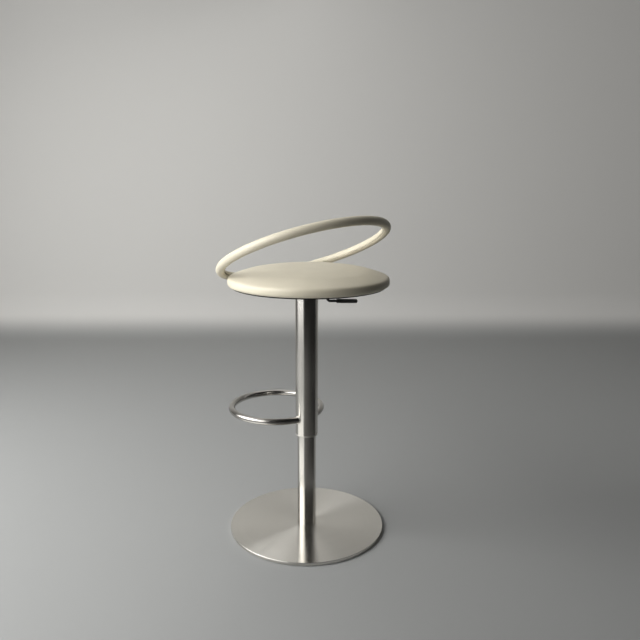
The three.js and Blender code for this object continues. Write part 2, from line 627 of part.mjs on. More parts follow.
function valveBody() {
  const radius = CYLINDER_CONE_TOP_DIAMETER / 2 - CYLINDER_WALL - FIT_GAP;
  const geometry = hollowDisc(VALVE_PIN_DIAMETER / 2 + SLIDE_GAP, radius, VALVE_BODY_LENGTH, SMALL_SIDES);
  return piece('valve_body', geometry, NYLON, CYLINDER_TOP - CYLINDER_CROWN - FIT_GAP - VALVE_BODY_LENGTH);
}

function valvePin() {
  const geometry = disc(VALVE_PIN_DIAMETER / 2, VALVE_PIN_LENGTH, SMALL_SIDES);
  return piece('valve_pin', geometry, ZINC_STEEL, VALVE_PIN_TOP - VALVE_PIN_LENGTH);
}

// Column pieces that move with the seat

function upperTube() {
  const geometry = hollowDisc(UPPER_TUBE_BORE_RADIUS, UPPER_TUBE_DIAMETER / 2, UPPER_TUBE_LENGTH, TUBE_SIDES);
  return piece('upper_tube', geometry, BRUSHED_STEEL, UPPER_TUBE_Z);
}

function collarRing() {
  const geometry = hollowDisc(BUSH_BORE_RADIUS, UPPER_TUBE_DIAMETER / 2, COLLAR_RING_THICKNESS, TUBE_SIDES);
  return piece('collar_ring', geometry, BRUSHED_STEEL, COLLAR_HEIGHT);
}

function collarBush() {
  const radius = UPPER_TUBE_BORE_RADIUS - FIT_GAP;
  const geometry = hollowDisc(BUSH_BORE_RADIUS, radius, COLLAR_BUSH_LENGTH, TUBE_SIDES);
  return piece('collar_bush', geometry, NYLON, UPPER_TUBE_Z);
}

function topRing() {
  const bore = SOCKET_DIAMETER / 2 + FIT_GAP;
  const ring = hollowDisc(bore, UPPER_TUBE_BORE_RADIUS - FIT_GAP, TOP_RING_THICKNESS, SMALL_SIDES);
  const hole = disc(COLUMN_SCREW_DIAMETER / 2 + FIT_GAP, TOP_RING_THICKNESS + OVERRUN * 2, SCREW_SIDES);
  const holes = columnScrewPlaces.map(([x, y]) => moved(hole, x, y, -OVERRUN));
  return piece('tube_top_ring', cutBy(ring, holes), PLAIN_STEEL, TOP_RING_Z);
}

function footRing() {
  const tube = FOOT_RING_TUBE / 2;
  const outer = new THREE.TorusGeometry(FOOT_RING_RADIUS, tube, FOOT_RING_TUBE_SIDES, RING_SIDES);
  const lining = tube - FOOT_RING_WALL;
  const bore = new THREE.TorusGeometry(FOOT_RING_RADIUS, lining, FOOT_RING_BORE_SIDES, RING_SIDES);
  const column = disc(UPPER_TUBE_DIAMETER / 2 + FIT_GAP, FOOT_RING_TUBE + OVERRUN * 2, TUBE_SIDES);
  const columnPlace = moved(column, 0, FOOT_RING_RADIUS, -tube - OVERRUN);
  const ring = piece('foot_ring', cutBy(outer, [bore, columnPlace]), BRUSHED_STEEL, FOOT_RING_HEIGHT);
  ring.position.y = -FOOT_RING_RADIUS;
  return ring;
}

// Seat mechanism

function tray() {
  const flangePlate = roundedPlate(FLANGE_LENGTH, FLANGE_WIDTH, FLANGE_CORNER, TRAY_WALL);
  const flange = moved(flangePlate, 0, 0, TRAY_DEPTH - TRAY_WALL);
  const well = roundedPlate(TRAY_LENGTH, TRAY_WIDTH, TRAY_CORNER, TRAY_DEPTH);
  const inner = TRAY_CORNER - TRAY_WALL;
  const hollow = roundedPlate(TRAY_LENGTH - TRAY_WALL * 2, TRAY_WIDTH - TRAY_WALL * 2, inner, TRAY_DEPTH);
  const tools = [moved(hollow, 0, 0, TRAY_WALL)];
  const socketHole = disc(SOCKET_DIAMETER / 2 + FIT_GAP, TRAY_WALL + OVERRUN * 2, SMALL_SIDES);
  tools.push(moved(socketHole, 0, 0, -OVERRUN));
  const slotHeight = LEVER_SLOT_BELOW + LEVER_SLOT_ABOVE;
  const slot = box(TRAY_WALL + OVERRUN * 2, LEVER_SLOT_WIDTH, slotHeight);
  const wallDrop = (TRAY_LENGTH / 2 - LEVER_PIVOT_REACH) * Math.tan(LEVER_SLOPE_ANGLE);
  const slotZ = LEVER_PIVOT_Z - wallDrop - LEVER_SLOT_BELOW - TRAY_Z;
  tools.push(moved(slot, -(TRAY_LENGTH - TRAY_WALL) / 2, 0, slotZ));
  const bolt = disc(SEAT_BOLT_DIAMETER / 2 + FIT_GAP, TRAY_WALL + OVERRUN * 2, SCREW_SIDES);
  for (const [x, y] of seatBoltPlaces) tools.push(moved(bolt, x, y, TRAY_DEPTH - TRAY_WALL - OVERRUN));
  const screw = disc(COLUMN_SCREW_DIAMETER / 2 + FIT_GAP, TRAY_WALL + OVERRUN * 2, SCREW_SIDES);
  for (const [x, y] of columnScrewPlaces) tools.push(moved(screw, x, y, -OVERRUN));
  return piece('mechanism_tray', cutBy(joined([flange, well]), tools), BLACK_STEEL, TRAY_Z);
}

function coneSocket() {
  const outer = SOCKET_DIAMETER / 2;
  const slope = (CYLINDER_DIAMETER - CYLINDER_CONE_TOP_DIAMETER) / 2 / CYLINDER_CONE_LENGTH;
  const topBore = CYLINDER_CONE_TOP_DIAMETER / 2 + (CYLINDER_TOP - SOCKET_TOP) * slope + SLIDE_GAP;
  const bottomBore = topBore + SOCKET_LENGTH * slope;
  const outline = [[bottomBore, 0], [outer, 0], [outer, SOCKET_LENGTH], [topBore, SOCKET_LENGTH]];
  return piece('cone_socket', turned(outline, SMALL_SIDES), PLAIN_STEEL, SOCKET_TOP - SOCKET_LENGTH);
}

// A screw or bolt with its head at the bottom and its shank up, or the other way round
function boltGeometry(headRadius, headHeight, headSides, shankRadius, shankLength) {
  const head = disc(headRadius, headHeight, headSides);
  const shank = moved(disc(shankRadius, shankLength + headHeight / 2, SCREW_SIDES), 0, 0, headHeight / 2);
  return joined([head, shank]);
}

function columnScrews() {
  const [head, shank] = [COLUMN_SCREW_HEAD_DIAMETER / 2, COLUMN_SCREW_DIAMETER / 2];
  const length = TRAY_WALL + FIT_GAP + COLUMN_SCREW_REACH;
  const geometry = boltGeometry(head, COLUMN_SCREW_HEAD_HEIGHT, SCREW_SIDES, shank, length);
  return columnScrewPlaces.map(([x, y], i) => {
    const screw = piece(`column_screw_${i + 1}`, geometry, ZINC_STEEL);
    screw.rotation.x = Math.PI;
    screw.position.set(x, y, TRAY_FLOOR + FIT_GAP + COLUMN_SCREW_HEAD_HEIGHT);
    return screw;
  });
}

function pivotBracket() {
  const half = LEVER_ROD_DIAMETER / 2 + PIVOT_SIDE_GAP;
  const width = (half + PIVOT_BRACKET_WALL) * 2;
  const floor = TRAY_FLOOR + FIT_GAP;
  const height = LEVER_PIVOT_Z + PIVOT_EAR_RISE - floor;
  const block = box(PIVOT_BRACKET_LENGTH, width, height);
  const gap = moved(box(PIVOT_BRACKET_LENGTH + OVERRUN * 2, half * 2, height), 0, 0, PIVOT_BRACKET_WALL);
  const hole = disc(RIVET_DIAMETER / 2 + FIT_GAP, width + OVERRUN * 2, SCREW_SIDES).rotateX(Math.PI / 2);
  const holePlace = moved(hole, 0, width / 2 + OVERRUN, LEVER_PIVOT_Z - floor);
  const bracket = piece('pivot_bracket', cutBy(block, [gap, holePlace]), ZINC_STEEL, floor);
  bracket.position.x = -LEVER_PIVOT_REACH;
  return bracket;
}

function leverRivet() {
  const half = LEVER_ROD_DIAMETER / 2 + PIVOT_SIDE_GAP + PIVOT_BRACKET_WALL + FIT_GAP;
  const [shank, head] = [RIVET_DIAMETER / 2, RIVET_HEAD_DIAMETER / 2];
  const end = half + RIVET_HEAD_THICKNESS;
  const outline = [[0, -end], [head, -end], [head, -half], [shank, -half]];
  outline.push([shank, half], [head, half], [head, end], [0, end]);
  const rivet = piece('lever_rivet', turned(outline, SCREW_SIDES), ZINC_STEEL, LEVER_PIVOT_Z);
  rivet.position.x = -LEVER_PIVOT_REACH;
  rivet.rotation.x = Math.PI / 2;
  return rivet;
}

// Release lever, in a group whose origin is the pivot

function leverPath() {
  const slope = Math.tan(LEVER_SLOPE_ANGLE);
  const inner = LEVER_PIVOT_REACH + LEVER_INNER_REACH;
  const start = new THREE.Vector3(inner, 0, inner * slope);
  const kneeReach = LEVER_KNEE_REACH - LEVER_PIVOT_REACH;
  const knee = new THREE.Vector3(-kneeReach, 0, -kneeReach * slope);
  const bend = new THREE.Vector3(-(LEVER_BEND_REACH - LEVER_PIVOT_REACH), 0, knee.z - LEVER_BEND_DROP);
  const arm = new THREE.Vector3(-Math.cos(LEVER_ARM_ANGLE), 0, -Math.sin(LEVER_ARM_ANGLE));
  const reach = (LEVER_TIP_REACH - LEVER_BEND_REACH) / Math.cos(LEVER_ARM_ANGLE);
  const end = bend.clone().addScaledVector(arm, reach - GRIP_END_WALL - FIT_GAP);
  const grip = bend.clone().addScaledVector(arm, reach - GRIP_LENGTH);
  return { start, knee, bend, end, grip, arm };
}

function trimmed(corner, toward) {
  return corner.clone().addScaledVector(toward.clone().sub(corner).normalize(), LEVER_BEND_TRIM);
}

function leverRod() {
  const { start, knee, bend, end } = leverPath();
  const path = new THREE.CurvePath();
  path.add(new THREE.LineCurve3(start, trimmed(knee, start)));
  path.add(new THREE.QuadraticBezierCurve3(trimmed(knee, start), knee, trimmed(knee, bend)));
  path.add(new THREE.LineCurve3(trimmed(knee, bend), trimmed(bend, knee)));
  path.add(new THREE.QuadraticBezierCurve3(trimmed(bend, knee), bend, trimmed(bend, end)));
  path.add(new THREE.LineCurve3(trimmed(bend, end), end));
  const section = new THREE.Shape().absarc(0, 0, LEVER_ROD_DIAMETER / 2, 0, Math.PI * 2);
  const rod = new THREE.ExtrudeGeometry(section, {
    steps: LEVER_ROD_STEPS,
    curveSegments: LEVER_ROD_SIDES,
    extrudePath: path,
    bevelEnabled: false,
  });
  const width = LEVER_ROD_DIAMETER + OVERRUN * 2;
  const hole = disc(RIVET_DIAMETER / 2 + FIT_GAP, width, SCREW_SIDES).rotateX(Math.PI / 2);
  return piece('lever_rod', cutBy(rod, [moved(hole, 0, width / 2, 0)]), BLACK_STEEL);
}

function leverGrip() {
  const { grip, arm } = leverPath();
  const bore = LEVER_ROD_DIAMETER / 2 + FIT_GAP;
  const outer = GRIP_DIAMETER / 2;
  const boreEnd = GRIP_LENGTH - GRIP_END_WALL;
  const roundStart = GRIP_LENGTH - GRIP_ROUNDING;
  const outline = [[0, boreEnd], [bore, boreEnd], [bore, 0], [outer, 0], [outer, roundStart]];
  outline.push([outer - GRIP_SHOULDER, GRIP_LENGTH - GRIP_SHOULDER]);
  outline.push([outer - GRIP_ROUNDING, GRIP_LENGTH], [0, GRIP_LENGTH]);
  const handle = piece('lever_grip', turned(outline, SMALL_SIDES), BLACK_PLASTIC);
  handle.position.copy(grip);
  handle.quaternion.setFromUnitVectors(new THREE.Vector3(0, 0, 1), arm);
  return handle;
}

// Seat, in a group centred behind the column axis

function seatOutline(inset, stride) {
  const foot = SEAT_BOTTOM_RADIUS - inset;
  const side = SIDE_SHARES.map(([out, up]) => [foot + out * SEAT_SWELL, up * SEAT_SIDE_HEIGHT]);
  const shoulder = SEAT_SIDE_HEIGHT - inset;
  const crownRadius = SEAT_RADIUS - inset;
  const crown = CROWN_SHARES.map(([out, up]) => [out * crownRadius, shoulder + up * SEAT_CROWN_HEIGHT]);
  const points = [...side, ...crown];
  const last = points.length - 1;
  return points.filter((point, i) => (last - i) % stride === 0);
}

function seatCover() {
  const outer = seatOutline(0, 1);
  const inner = seatOutline(LEATHER_THICKNESS, 2).filter(([, height]) => height > 0).reverse();
  const hem = SEAT_BOTTOM_RADIUS - LEATHER_HEM;
  const lining = SEAT_BOTTOM_RADIUS - LEATHER_THICKNESS;
  const outline = [...inner, [lining, LEATHER_THICKNESS], [hem, LEATHER_THICKNESS], [hem, 0], ...outer];
  const hole = disc(COVER_SCREW_DIAMETER / 2 + FIT_GAP, LEATHER_THICKNESS + OVERRUN * 2, SCREW_SIDES);
  const holes = coverScrewPlaces.map(([x, y]) => moved(hole, x, y, -OVERRUN));
  return piece('seat_cover', cutBy(turned(outline, SEAT_SIDES), holes), CREAM_LEATHER, HEM_Z);
}

function seatFoam() {
  const skirt = BOARD_RADIUS + FIT_GAP;
  const floor = BOARD_TOP + FIT_GAP - HEM_Z;
  const outer = seatOutline(LEATHER_THICKNESS + FIT_GAP, 2).filter(([, up]) => up > LEATHER_THICKNESS);
  const outline = [[0, floor], [skirt, floor], [skirt, outer[0][1]], ...outer];
  const pocketRadius = TEE_NUT_FLANGE_DIAMETER / 2 + FIT_GAP;
  const pocket = disc(pocketRadius, TEE_NUT_FLANGE_THICKNESS + FIT_GAP + OVERRUN, SCREW_SIDES);
  const pockets = seatBoltPlaces.map(([x, y]) => moved(pocket, x, y - SEAT_SETBACK, floor - OVERRUN));
  return piece('seat_foam', cutBy(turned(outline, SEAT_SIDES), pockets), FOAM, HEM_Z);
}

function seatBoard() {
  const board = disc(BOARD_RADIUS, BOARD_THICKNESS, SEAT_SIDES);
  const tools = [];
  const nutRadius = SEAT_BOLT_DIAMETER / 2 + FIT_GAP * 2 + TEE_NUT_WALL;
  const nutHole = disc(nutRadius, BOARD_THICKNESS + OVERRUN * 2, SCREW_SIDES);
  for (const [x, y] of seatBoltPlaces) tools.push(moved(nutHole, x, y - SEAT_SETBACK, -OVERRUN));
  const boltHole = disc(HOOP_BOLT_DIAMETER / 2 + FIT_GAP, BOARD_THICKNESS + OVERRUN * 2, SCREW_SIDES);
  for (const [x, y] of hoopHolePlaces) tools.push(moved(boltHole, x, y - SEAT_SETBACK, -OVERRUN));
  const screwDepth = COVER_SCREW_REACH + FIT_GAP + OVERRUN;
  const screwHole = disc(COVER_SCREW_DIAMETER / 2 + FIT_GAP, screwDepth, SCREW_SIDES);
  for (const [x, y] of coverScrewPlaces) tools.push(moved(screwHole, x, y, -OVERRUN));
  return piece('seat_board', cutBy(board, tools), PLYWOOD, BOARD_Z);
}

function bottomCover() {
  const cover = disc(BOTTOM_COVER_RADIUS, BOTTOM_COVER_THICKNESS, SEAT_SIDES);
  const depth = BOTTOM_COVER_THICKNESS + OVERRUN * 2;
  const [length, width] = [FLANGE_LENGTH, FLANGE_WIDTH].map((size) => size + BOTTOM_COVER_CLEARANCE * 2);
  const opening = roundedPlate(length, width, FLANGE_CORNER + BOTTOM_COVER_CLEARANCE, depth);
  const boltHole = disc(HOOP_BOLT_DIAMETER / 2 + FIT_GAP, depth, SCREW_SIDES);
  const screwHole = disc(COVER_SCREW_DIAMETER / 2 + FIT_GAP, depth, SCREW_SIDES);
  const tools = hoopHolePlaces.map(([x, y]) => moved(boltHole, x, y - SEAT_SETBACK, -OVERRUN));
  for (const [x, y] of coverScrewPlaces) tools.push(moved(screwHole, x, y, -OVERRUN));
  tools.push(moved(opening, 0, -SEAT_SETBACK, -OVERRUN));
  return piece('bottom_cover', cutBy(cover, tools), BLACK_PLASTIC, SEAT_UNDERSIDE);
}

function coverScrews() {
  const length = BOARD_Z - SEAT_UNDERSIDE + FIT_GAP + COVER_SCREW_REACH;
  const head = COVER_SCREW_HEAD_DIAMETER / 2;
  const geometry = boltGeometry(head, COVER_SCREW_HEAD_HEIGHT, SCREW_SIDES, COVER_SCREW_DIAMETER / 2, length);
  return coverScrewPlaces.map(([x, y], i) => {
    const screw = piece(`cover_screw_${i + 1}`, geometry, BLACK_STEEL);
    screw.position.set(x, y, SEAT_UNDERSIDE - FIT_GAP - COVER_SCREW_HEAD_HEIGHT);
    return screw;
  });
}

function seatBolts() {
  const head = SEAT_BOLT_HEAD_DIAMETER / 2;
  const length = FLANGE_TOP - FLANGE_Z + FIT_GAP * 2 + SEAT_BOLT_REACH;
  const geometry = boltGeometry(head, SEAT_BOLT_HEAD_HEIGHT, HEX_SIDES, SEAT_BOLT_DIAMETER / 2, length);
  return seatBoltPlaces.map(([x, y], i) => {
    const bolt = piece(`seat_bolt_${i + 1}`, geometry, ZINC_STEEL);
    bolt.position.set(x, y, FLANGE_Z - FIT_GAP - SEAT_BOLT_HEAD_HEIGHT);
    return bolt;
  });
}

function teeNuts() {
  const bore = SEAT_BOLT_DIAMETER / 2 + FIT_GAP;
  const barrel = bore + TEE_NUT_WALL;
  const flange = TEE_NUT_FLANGE_DIAMETER / 2;
  const shoulder = BOARD_THICKNESS;
  const top = shoulder + TEE_NUT_FLANGE_THICKNESS;
  const outline = [[bore, 0], [barrel, 0], [barrel, shoulder], [flange, shoulder]];
  outline.push([flange, top], [bore, top]);
  const geometry = turned(outline, SCREW_SIDES);
  return seatBoltPlaces.map(([x, y], i) => {
    const nut = piece(`tee_nut_${i + 1}`, geometry, ZINC_STEEL);
    nut.position.set(x, y, BOARD_Z + TEE_NUT_GAP);
    return nut;
  });
}

// Hoop backrest, in a group tilted about its own centre

const hoopPlace = new THREE.Matrix4()
  .makeTranslation(0, -HOOP_ADVANCE, HOOP_CENTRE_HEIGHT)
  .multiply(new THREE.Matrix4().makeRotationX(HOOP_TILT_ANGLE));

// A split sleeve round the bar: the split runs along the inside of the hoop
function splitSleeve(innerRadius, outerRadius, outerSides, innerSides, splitWidth) {
  const outline = [];
  const arc = (radius, sides, direction) => {
    const half = Math.PI - Math.asin(splitWidth / 2 / radius);
    for (let i = 0; i <= sides; i += 1) {
      const angle = direction * half * (2 * i / sides - 1);
      outline.push([HOOP_RADIUS + radius * Math.cos(angle), radius * Math.sin(angle)]);
    }
  };
  arc(outerRadius, outerSides, 1);
  arc(innerRadius, innerSides, -1);
  return turned(outline, HOOP_SIDES);
}

function bracketBlock(growth) {
  const length = HOOP_BRACKET_LENGTH + growth;
  const block = box(HOOP_BRACKET_WIDTH + growth * 2, length, HOOP_BRACKET_THICKNESS + growth * 2);
  const z = SEAT_UNDERSIDE - FIT_GAP - HOOP_BRACKET_THICKNESS - growth;
  return moved(block, 0, HOOP_BRACKET_LENGTH - HOOP_LOW_REACH - length / 2, z);
}

function hoopBar() {
  const geometry = new THREE.TorusGeometry(HOOP_RADIUS, HOOP_BAR_DIAMETER / 2, HOOP_BAR_SIDES, HOOP_SIDES);
  return piece('hoop_bar', welded(geometry), PLAIN_STEEL);
}

function hoopSleeve() {
  const outer = HOOP_WRAP_DIAMETER / 2 - HOOP_LEATHER - FIT_GAP;
  const inner = (HOOP_BAR_DIAMETER / 2 + FIT_GAP) / Math.cos(Math.PI / HOOP_LINING_SIDES);
  const sleeve = splitSleeve(inner, outer, HOOP_LINING_SIDES, HOOP_LINING_SIDES, HOOP_SEAM_WIDTH);
  const notch = bracketBlock(FIT_GAP).applyMatrix4(hoopPlace.clone().invert());
  return piece('hoop_padding', cutBy(sleeve, [notch]), FOAM);
}

function hoopCover() {
  const outer = HOOP_WRAP_DIAMETER / 2;
  const cover = splitSleeve(outer - HOOP_LEATHER, outer, HOOP_WRAP_SIDES, HOOP_LINING_SIDES, HOOP_SEAM_WIDTH);
  const notch = bracketBlock(FIT_GAP).applyMatrix4(hoopPlace.clone().invert());
  return piece('hoop_cover', cutBy(cover, [notch]), CREAM_LEATHER);
}

function hoopBracket() {
  const barRadius = HOOP_BAR_DIAMETER / 2 + FIT_GAP;
  const bar = new THREE.TorusGeometry(HOOP_RADIUS, barRadius, HOOP_BAR_SIDES, HOOP_SIDES);
  bar.applyMatrix4(hoopPlace);
  const depth = HOOP_BRACKET_THICKNESS + OVERRUN * 2;
  const hole = disc(HOOP_BOLT_DIAMETER / 2 + FIT_GAP, depth, SCREW_SIDES);
  const z = SEAT_UNDERSIDE - FIT_GAP - HOOP_BRACKET_THICKNESS - OVERRUN;
  const holes = hoopBoltPlaces.map(([x, y]) => moved(hole, x, y, z));
  return piece('hoop_bracket', cutBy(bracketBlock(0), [bar, ...holes]), BLACK_STEEL);
}

function hoopBolts() {
  const head = HOOP_BOLT_HEAD_DIAMETER / 2;
  const length = BOARD_Z - SEAT_UNDERSIDE + HOOP_BRACKET_THICKNESS + FIT_GAP * 2 + HOOP_BOLT_REACH;
  const geometry = boltGeometry(head, HOOP_BOLT_HEAD_HEIGHT, HEX_SIDES, HOOP_BOLT_DIAMETER / 2, length);
  return hoopBoltPlaces.map(([x, y], i) => {
    const bolt = piece(`hoop_bolt_${i + 1}`, geometry, ZINC_STEEL);
    bolt.position.set(x, y, SEAT_UNDERSIDE - HOOP_BRACKET_THICKNESS - FIT_GAP * 2 - HOOP_BOLT_HEAD_HEIGHT);
    return bolt;
  });
}

// Assembly

const base = new THREE.Group();
base.add(floorPad(), basePlate(), baseSkin(), ...baseScrews(), lowerTube(), tubeFoot());
base.add(lowerRace(), bearingCage(), guideBush());

const rod = new THREE.Group();
rod.add(pistonRod(), upperRace(), rodWasher(), rodClip(), rubberBuffer(), piston(), pistonNut());

const column = new THREE.Group();
column.add(gasCylinder(), rodGuide(), rodSeal(), valveBody(), valvePin(), upperTube());
column.add(collarRing(), collarBush(), topRing(), footRing());

const mechanism = new THREE.Group();
mechanism.add(tray(), coneSocket(), ...columnScrews(), pivotBracket(), leverRivet(), ...seatBolts());

const lever = new THREE.Group();
lever.position.set(-LEVER_PIVOT_REACH, 0, LEVER_PIVOT_Z);
lever.add(leverRod(), leverGrip());

const seat = new THREE.Group();
seat.position.y = SEAT_SETBACK;
seat.add(seatCover(), seatFoam(), seatBoard(), bottomCover(), ...coverScrews());

const hoop = new THREE.Group();
hoop.position.set(0, -HOOP_ADVANCE, HOOP_CENTRE_HEIGHT);
hoop.rotation.x = HOOP_TILT_ANGLE;
hoop.add(hoopBar(), hoopSleeve(), hoopCover());

const backrest = new THREE.Group();
backrest.rotation.z = HOOP_TURN_ANGLE;
backrest.add(hoop, hoopBracket(), ...hoopBolts());

const stool = new THREE.Group();
stool.add(base, rod, column, mechanism, lever, seat, ...teeNuts(), backrest);

export default stool;
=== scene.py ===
"""Diner counter stool: the finished look of the stool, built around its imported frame.

Metres, in the frame's own axes. The sitter faces -Y, the release lever is at -X and the hoop is high at +Y.
Each operator makes one piece, or one group of like pieces, and the panel in the sidebar lists them.
"""

import json
import math

import bpy
import numpy as np
from mathutils import Matrix, Vector
from mathutils.kdtree import KDTree


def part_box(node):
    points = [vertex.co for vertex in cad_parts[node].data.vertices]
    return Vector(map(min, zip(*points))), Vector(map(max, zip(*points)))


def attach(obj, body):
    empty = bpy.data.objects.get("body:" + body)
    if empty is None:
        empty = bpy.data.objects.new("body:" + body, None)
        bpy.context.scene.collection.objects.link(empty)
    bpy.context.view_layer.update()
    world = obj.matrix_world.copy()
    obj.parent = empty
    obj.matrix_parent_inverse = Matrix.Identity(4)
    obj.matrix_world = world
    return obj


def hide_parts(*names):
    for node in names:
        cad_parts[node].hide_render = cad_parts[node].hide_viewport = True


bl_info = {
    "name": "Diner Counter Stool",
    "version": (1, 0, 0),
    "blender": (4, 5, 0),
    "location": "View3D > Sidebar > Counter Stool",
    "description": "Builds the finished counter stool around its packed frame",
    "category": "Object",
}

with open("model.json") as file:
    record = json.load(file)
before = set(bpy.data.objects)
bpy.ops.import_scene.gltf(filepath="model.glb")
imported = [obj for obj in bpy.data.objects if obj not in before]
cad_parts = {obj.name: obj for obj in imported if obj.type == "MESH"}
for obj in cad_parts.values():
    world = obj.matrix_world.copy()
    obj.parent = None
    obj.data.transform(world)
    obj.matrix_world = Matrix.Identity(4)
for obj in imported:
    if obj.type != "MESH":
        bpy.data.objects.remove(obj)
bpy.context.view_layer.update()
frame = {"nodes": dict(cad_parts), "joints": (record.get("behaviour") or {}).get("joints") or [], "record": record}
LEVER_PIVOT = Vector(next(j["pos_m"] for j in frame["joints"] if j["name"] == "lever_pull"))

# Bodies of the frame
BASE = "base"
SEAT = "seat_assembly"
LEVER = "release_lever"


# Shaping helpers

# How near to a place or a height counts as on it
NEAR = 1e-5


def clear_selection():
    """Leaves edit mode and selects nothing, so that a new primitive stands alone"""
    if bpy.context.object and bpy.context.object.mode != "OBJECT":
        bpy.ops.object.mode_set(mode="OBJECT")
    bpy.ops.object.select_all(action="DESELECT")


def named(name):
    """Names the primitive that was just added"""
    piece = bpy.context.object
    piece.name = name
    piece.data.name = name
    return piece


def only(piece):
    """Makes one piece the selected and active one"""
    clear_selection()
    piece.select_set(True)
    bpy.context.view_layer.objects.active = piece


def settle(piece):
    """Puts a piece's place, turn and scale into its mesh"""
    only(piece)
    bpy.ops.object.transform_apply(location=True, rotation=True, scale=True)
    return piece


def cylinder(name, sides, radius, low, high, y=0.0, **settings):
    """A cylinder between two heights, round the column's axis or at a distance behind it"""
    clear_selection()
    bpy.ops.mesh.primitive_cylinder_add(
        vertices=sides, radius=radius, depth=high - low, location=(0, y, (low + high) / 2), **settings
    )
    return settle(named(name))


def pick(piece, kind, test):
    """Selects the faces or edges that pass a test of their middle and of their normal or direction"""
    if piece.mode != "OBJECT":
        bpy.ops.object.mode_set(mode="OBJECT")
    mesh = piece.data
    for group in (mesh.vertices, mesh.edges, mesh.polygons):
        group.foreach_set("select", np.zeros(len(group), bool))
    bpy.context.tool_settings.mesh_select_mode = (False, kind == "EDGE", kind == "FACE")
    if kind == "FACE":
        for face in mesh.polygons:
            face.select = test(face.center, face.normal)
    else:
        for edge in mesh.edges:
            a, b = (mesh.vertices[i].co for i in edge.vertices)
            edge.select = test((a + b) / 2, b - a)
    bpy.ops.object.mode_set(mode="EDIT")


def everywhere(place, normal):
    """Test that all faces pass"""
    return True


def faces_up(place, normal):
    """Test that level faces seen from above pass"""
    return normal.z > 0.9


def faces_down(place, normal):
    """Test that level faces seen from below pass"""
    return normal.z < -0.9


def done_editing():
    """Leaves edit mode"""
    bpy.ops.object.mode_set(mode="OBJECT")


def cut_away(piece, test):
    """Deletes the faces that pass a test"""
    pick(piece, "FACE", test)
    bpy.ops.mesh.delete(type="FACE")
    done_editing()


def open_up(piece, test, border):
    """Cuts an opening into the faces that pass a test, with a border left round it"""
    pick(piece, "FACE", test)
    bpy.ops.mesh.inset(thickness=border)
    bpy.ops.mesh.delete(type="FACE")
    done_editing()


def round_off(piece, kind, test, width, steps):
    """Bevels the edges, or the rims of the faces, that pass a test"""
    pick(piece, kind, test)
    bpy.ops.mesh.bevel(offset=width, segments=steps, affect="EDGES")
    done_editing()


def finished(piece, kind, **settings):
    """Adds a modifier to a piece and applies it"""
    only(piece)
    modifier = piece.modifiers.new(kind.title(), kind)
    for key, value in settings.items():
        setattr(modifier, key, value)
    bpy.ops.object.modifier_apply(modifier=modifier.name)


def give_wall(piece, wall):
    """Gives an open skin a wall, inwards from its outside"""
    finished(piece, "SOLIDIFY", thickness=wall, offset=-1, use_even_offset=True)


def cut_out(piece, tool):
    """Cuts the shape of a tool out of a piece, and puts the tool away"""
    finished(piece, "BOOLEAN", object=tool, operation="DIFFERENCE", solver="EXACT")
    bpy.data.objects.remove(tool)


def smooth(piece, degrees):
    """Shades a piece smooth, but for edges sharper than an angle"""
    only(piece)
    bpy.ops.object.shade_smooth_by_angle(angle=math.radians(degrees))
    return piece


def points_of(piece):
    """Places of a mesh's points, one row each"""
    flat = np.zeros(len(piece.data.vertices) * 3, np.float32)
    piece.data.vertices.foreach_get("co", flat)
    return flat.reshape(-1, 3).astype(float)


def place_points(piece, points):
    """Moves a mesh's points to new places"""
    piece.data.vertices.foreach_set("co", np.asarray(points, np.float32).ravel())
    piece.data.update()


def facing_out(piece):
    """Merges doubles and turns all faces outwards"""
    pick(piece, "FACE", everywhere)
    bpy.ops.mesh.remove_doubles(threshold=1e-6)
    bpy.ops.mesh.normals_make_consistent(inside=False)
    done_editing()
    return piece


def dress(piece, body, slot, material, *nodes):
    """Gives a finished piece its finish, its body and the nodes that it stands for"""
    piece.data.materials.clear()
    piece.data.materials.append(material)
    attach(piece, body)
    if nodes:
        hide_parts(*nodes)


def swept_ring(name, line, radii, sides):
    """A round section swept along a closed line: a torus whose sections are moved onto the line"""
    clear_selection()
    bpy.ops.mesh.primitive_torus_add(
        major_segments=len(line), minor_segments=sides, major_radius=1, minor_radius=0.2
    )
    piece = named(name)
    along = np.roll(line, -1, axis=0) - np.roll(line, 1, axis=0)
    along /= np.linalg.norm(along, axis=1)[:, None]
    side = np.cross(along, (0, 0, 1))
    side /= np.linalg.norm(side, axis=1)[:, None]
    up = np.cross(side, along)
    turn = np.arange(sides) * 2 * math.pi / sides
    sections = (
        line[:, None, :]
        + radii[:, None, None] * np.cos(turn)[None, :, None] * side[:, None, :]
        + radii[:, None, None] * np.sin(turn)[None, :, None] * up[:, None, :]
    )
    place_points(piece, sections.reshape(-1, 3))
    return facing_out(piece)


# Finishes

# Where most of a noise pattern's values lie
NOISE_LOW = 0.3
NOISE_HIGH = 0.7


def add_node(tree, kind, inputs=(), **settings):
    """Adds a shader node, each input linked to a socket or given a value"""
    made = tree.nodes.new(kind)
    for key, value in settings.items():
        setattr(made, key, value)
    for key, value in dict(inputs).items():
        if isinstance(value, bpy.types.NodeSocket):
            tree.links.new(value, made.inputs[key])
        else:
            made.inputs[key].default_value = value
    return made


def shade(colour, factor):
    """A lighter or darker tone of a colour"""
    return tuple(min(1.0, c * factor) for c in colour)


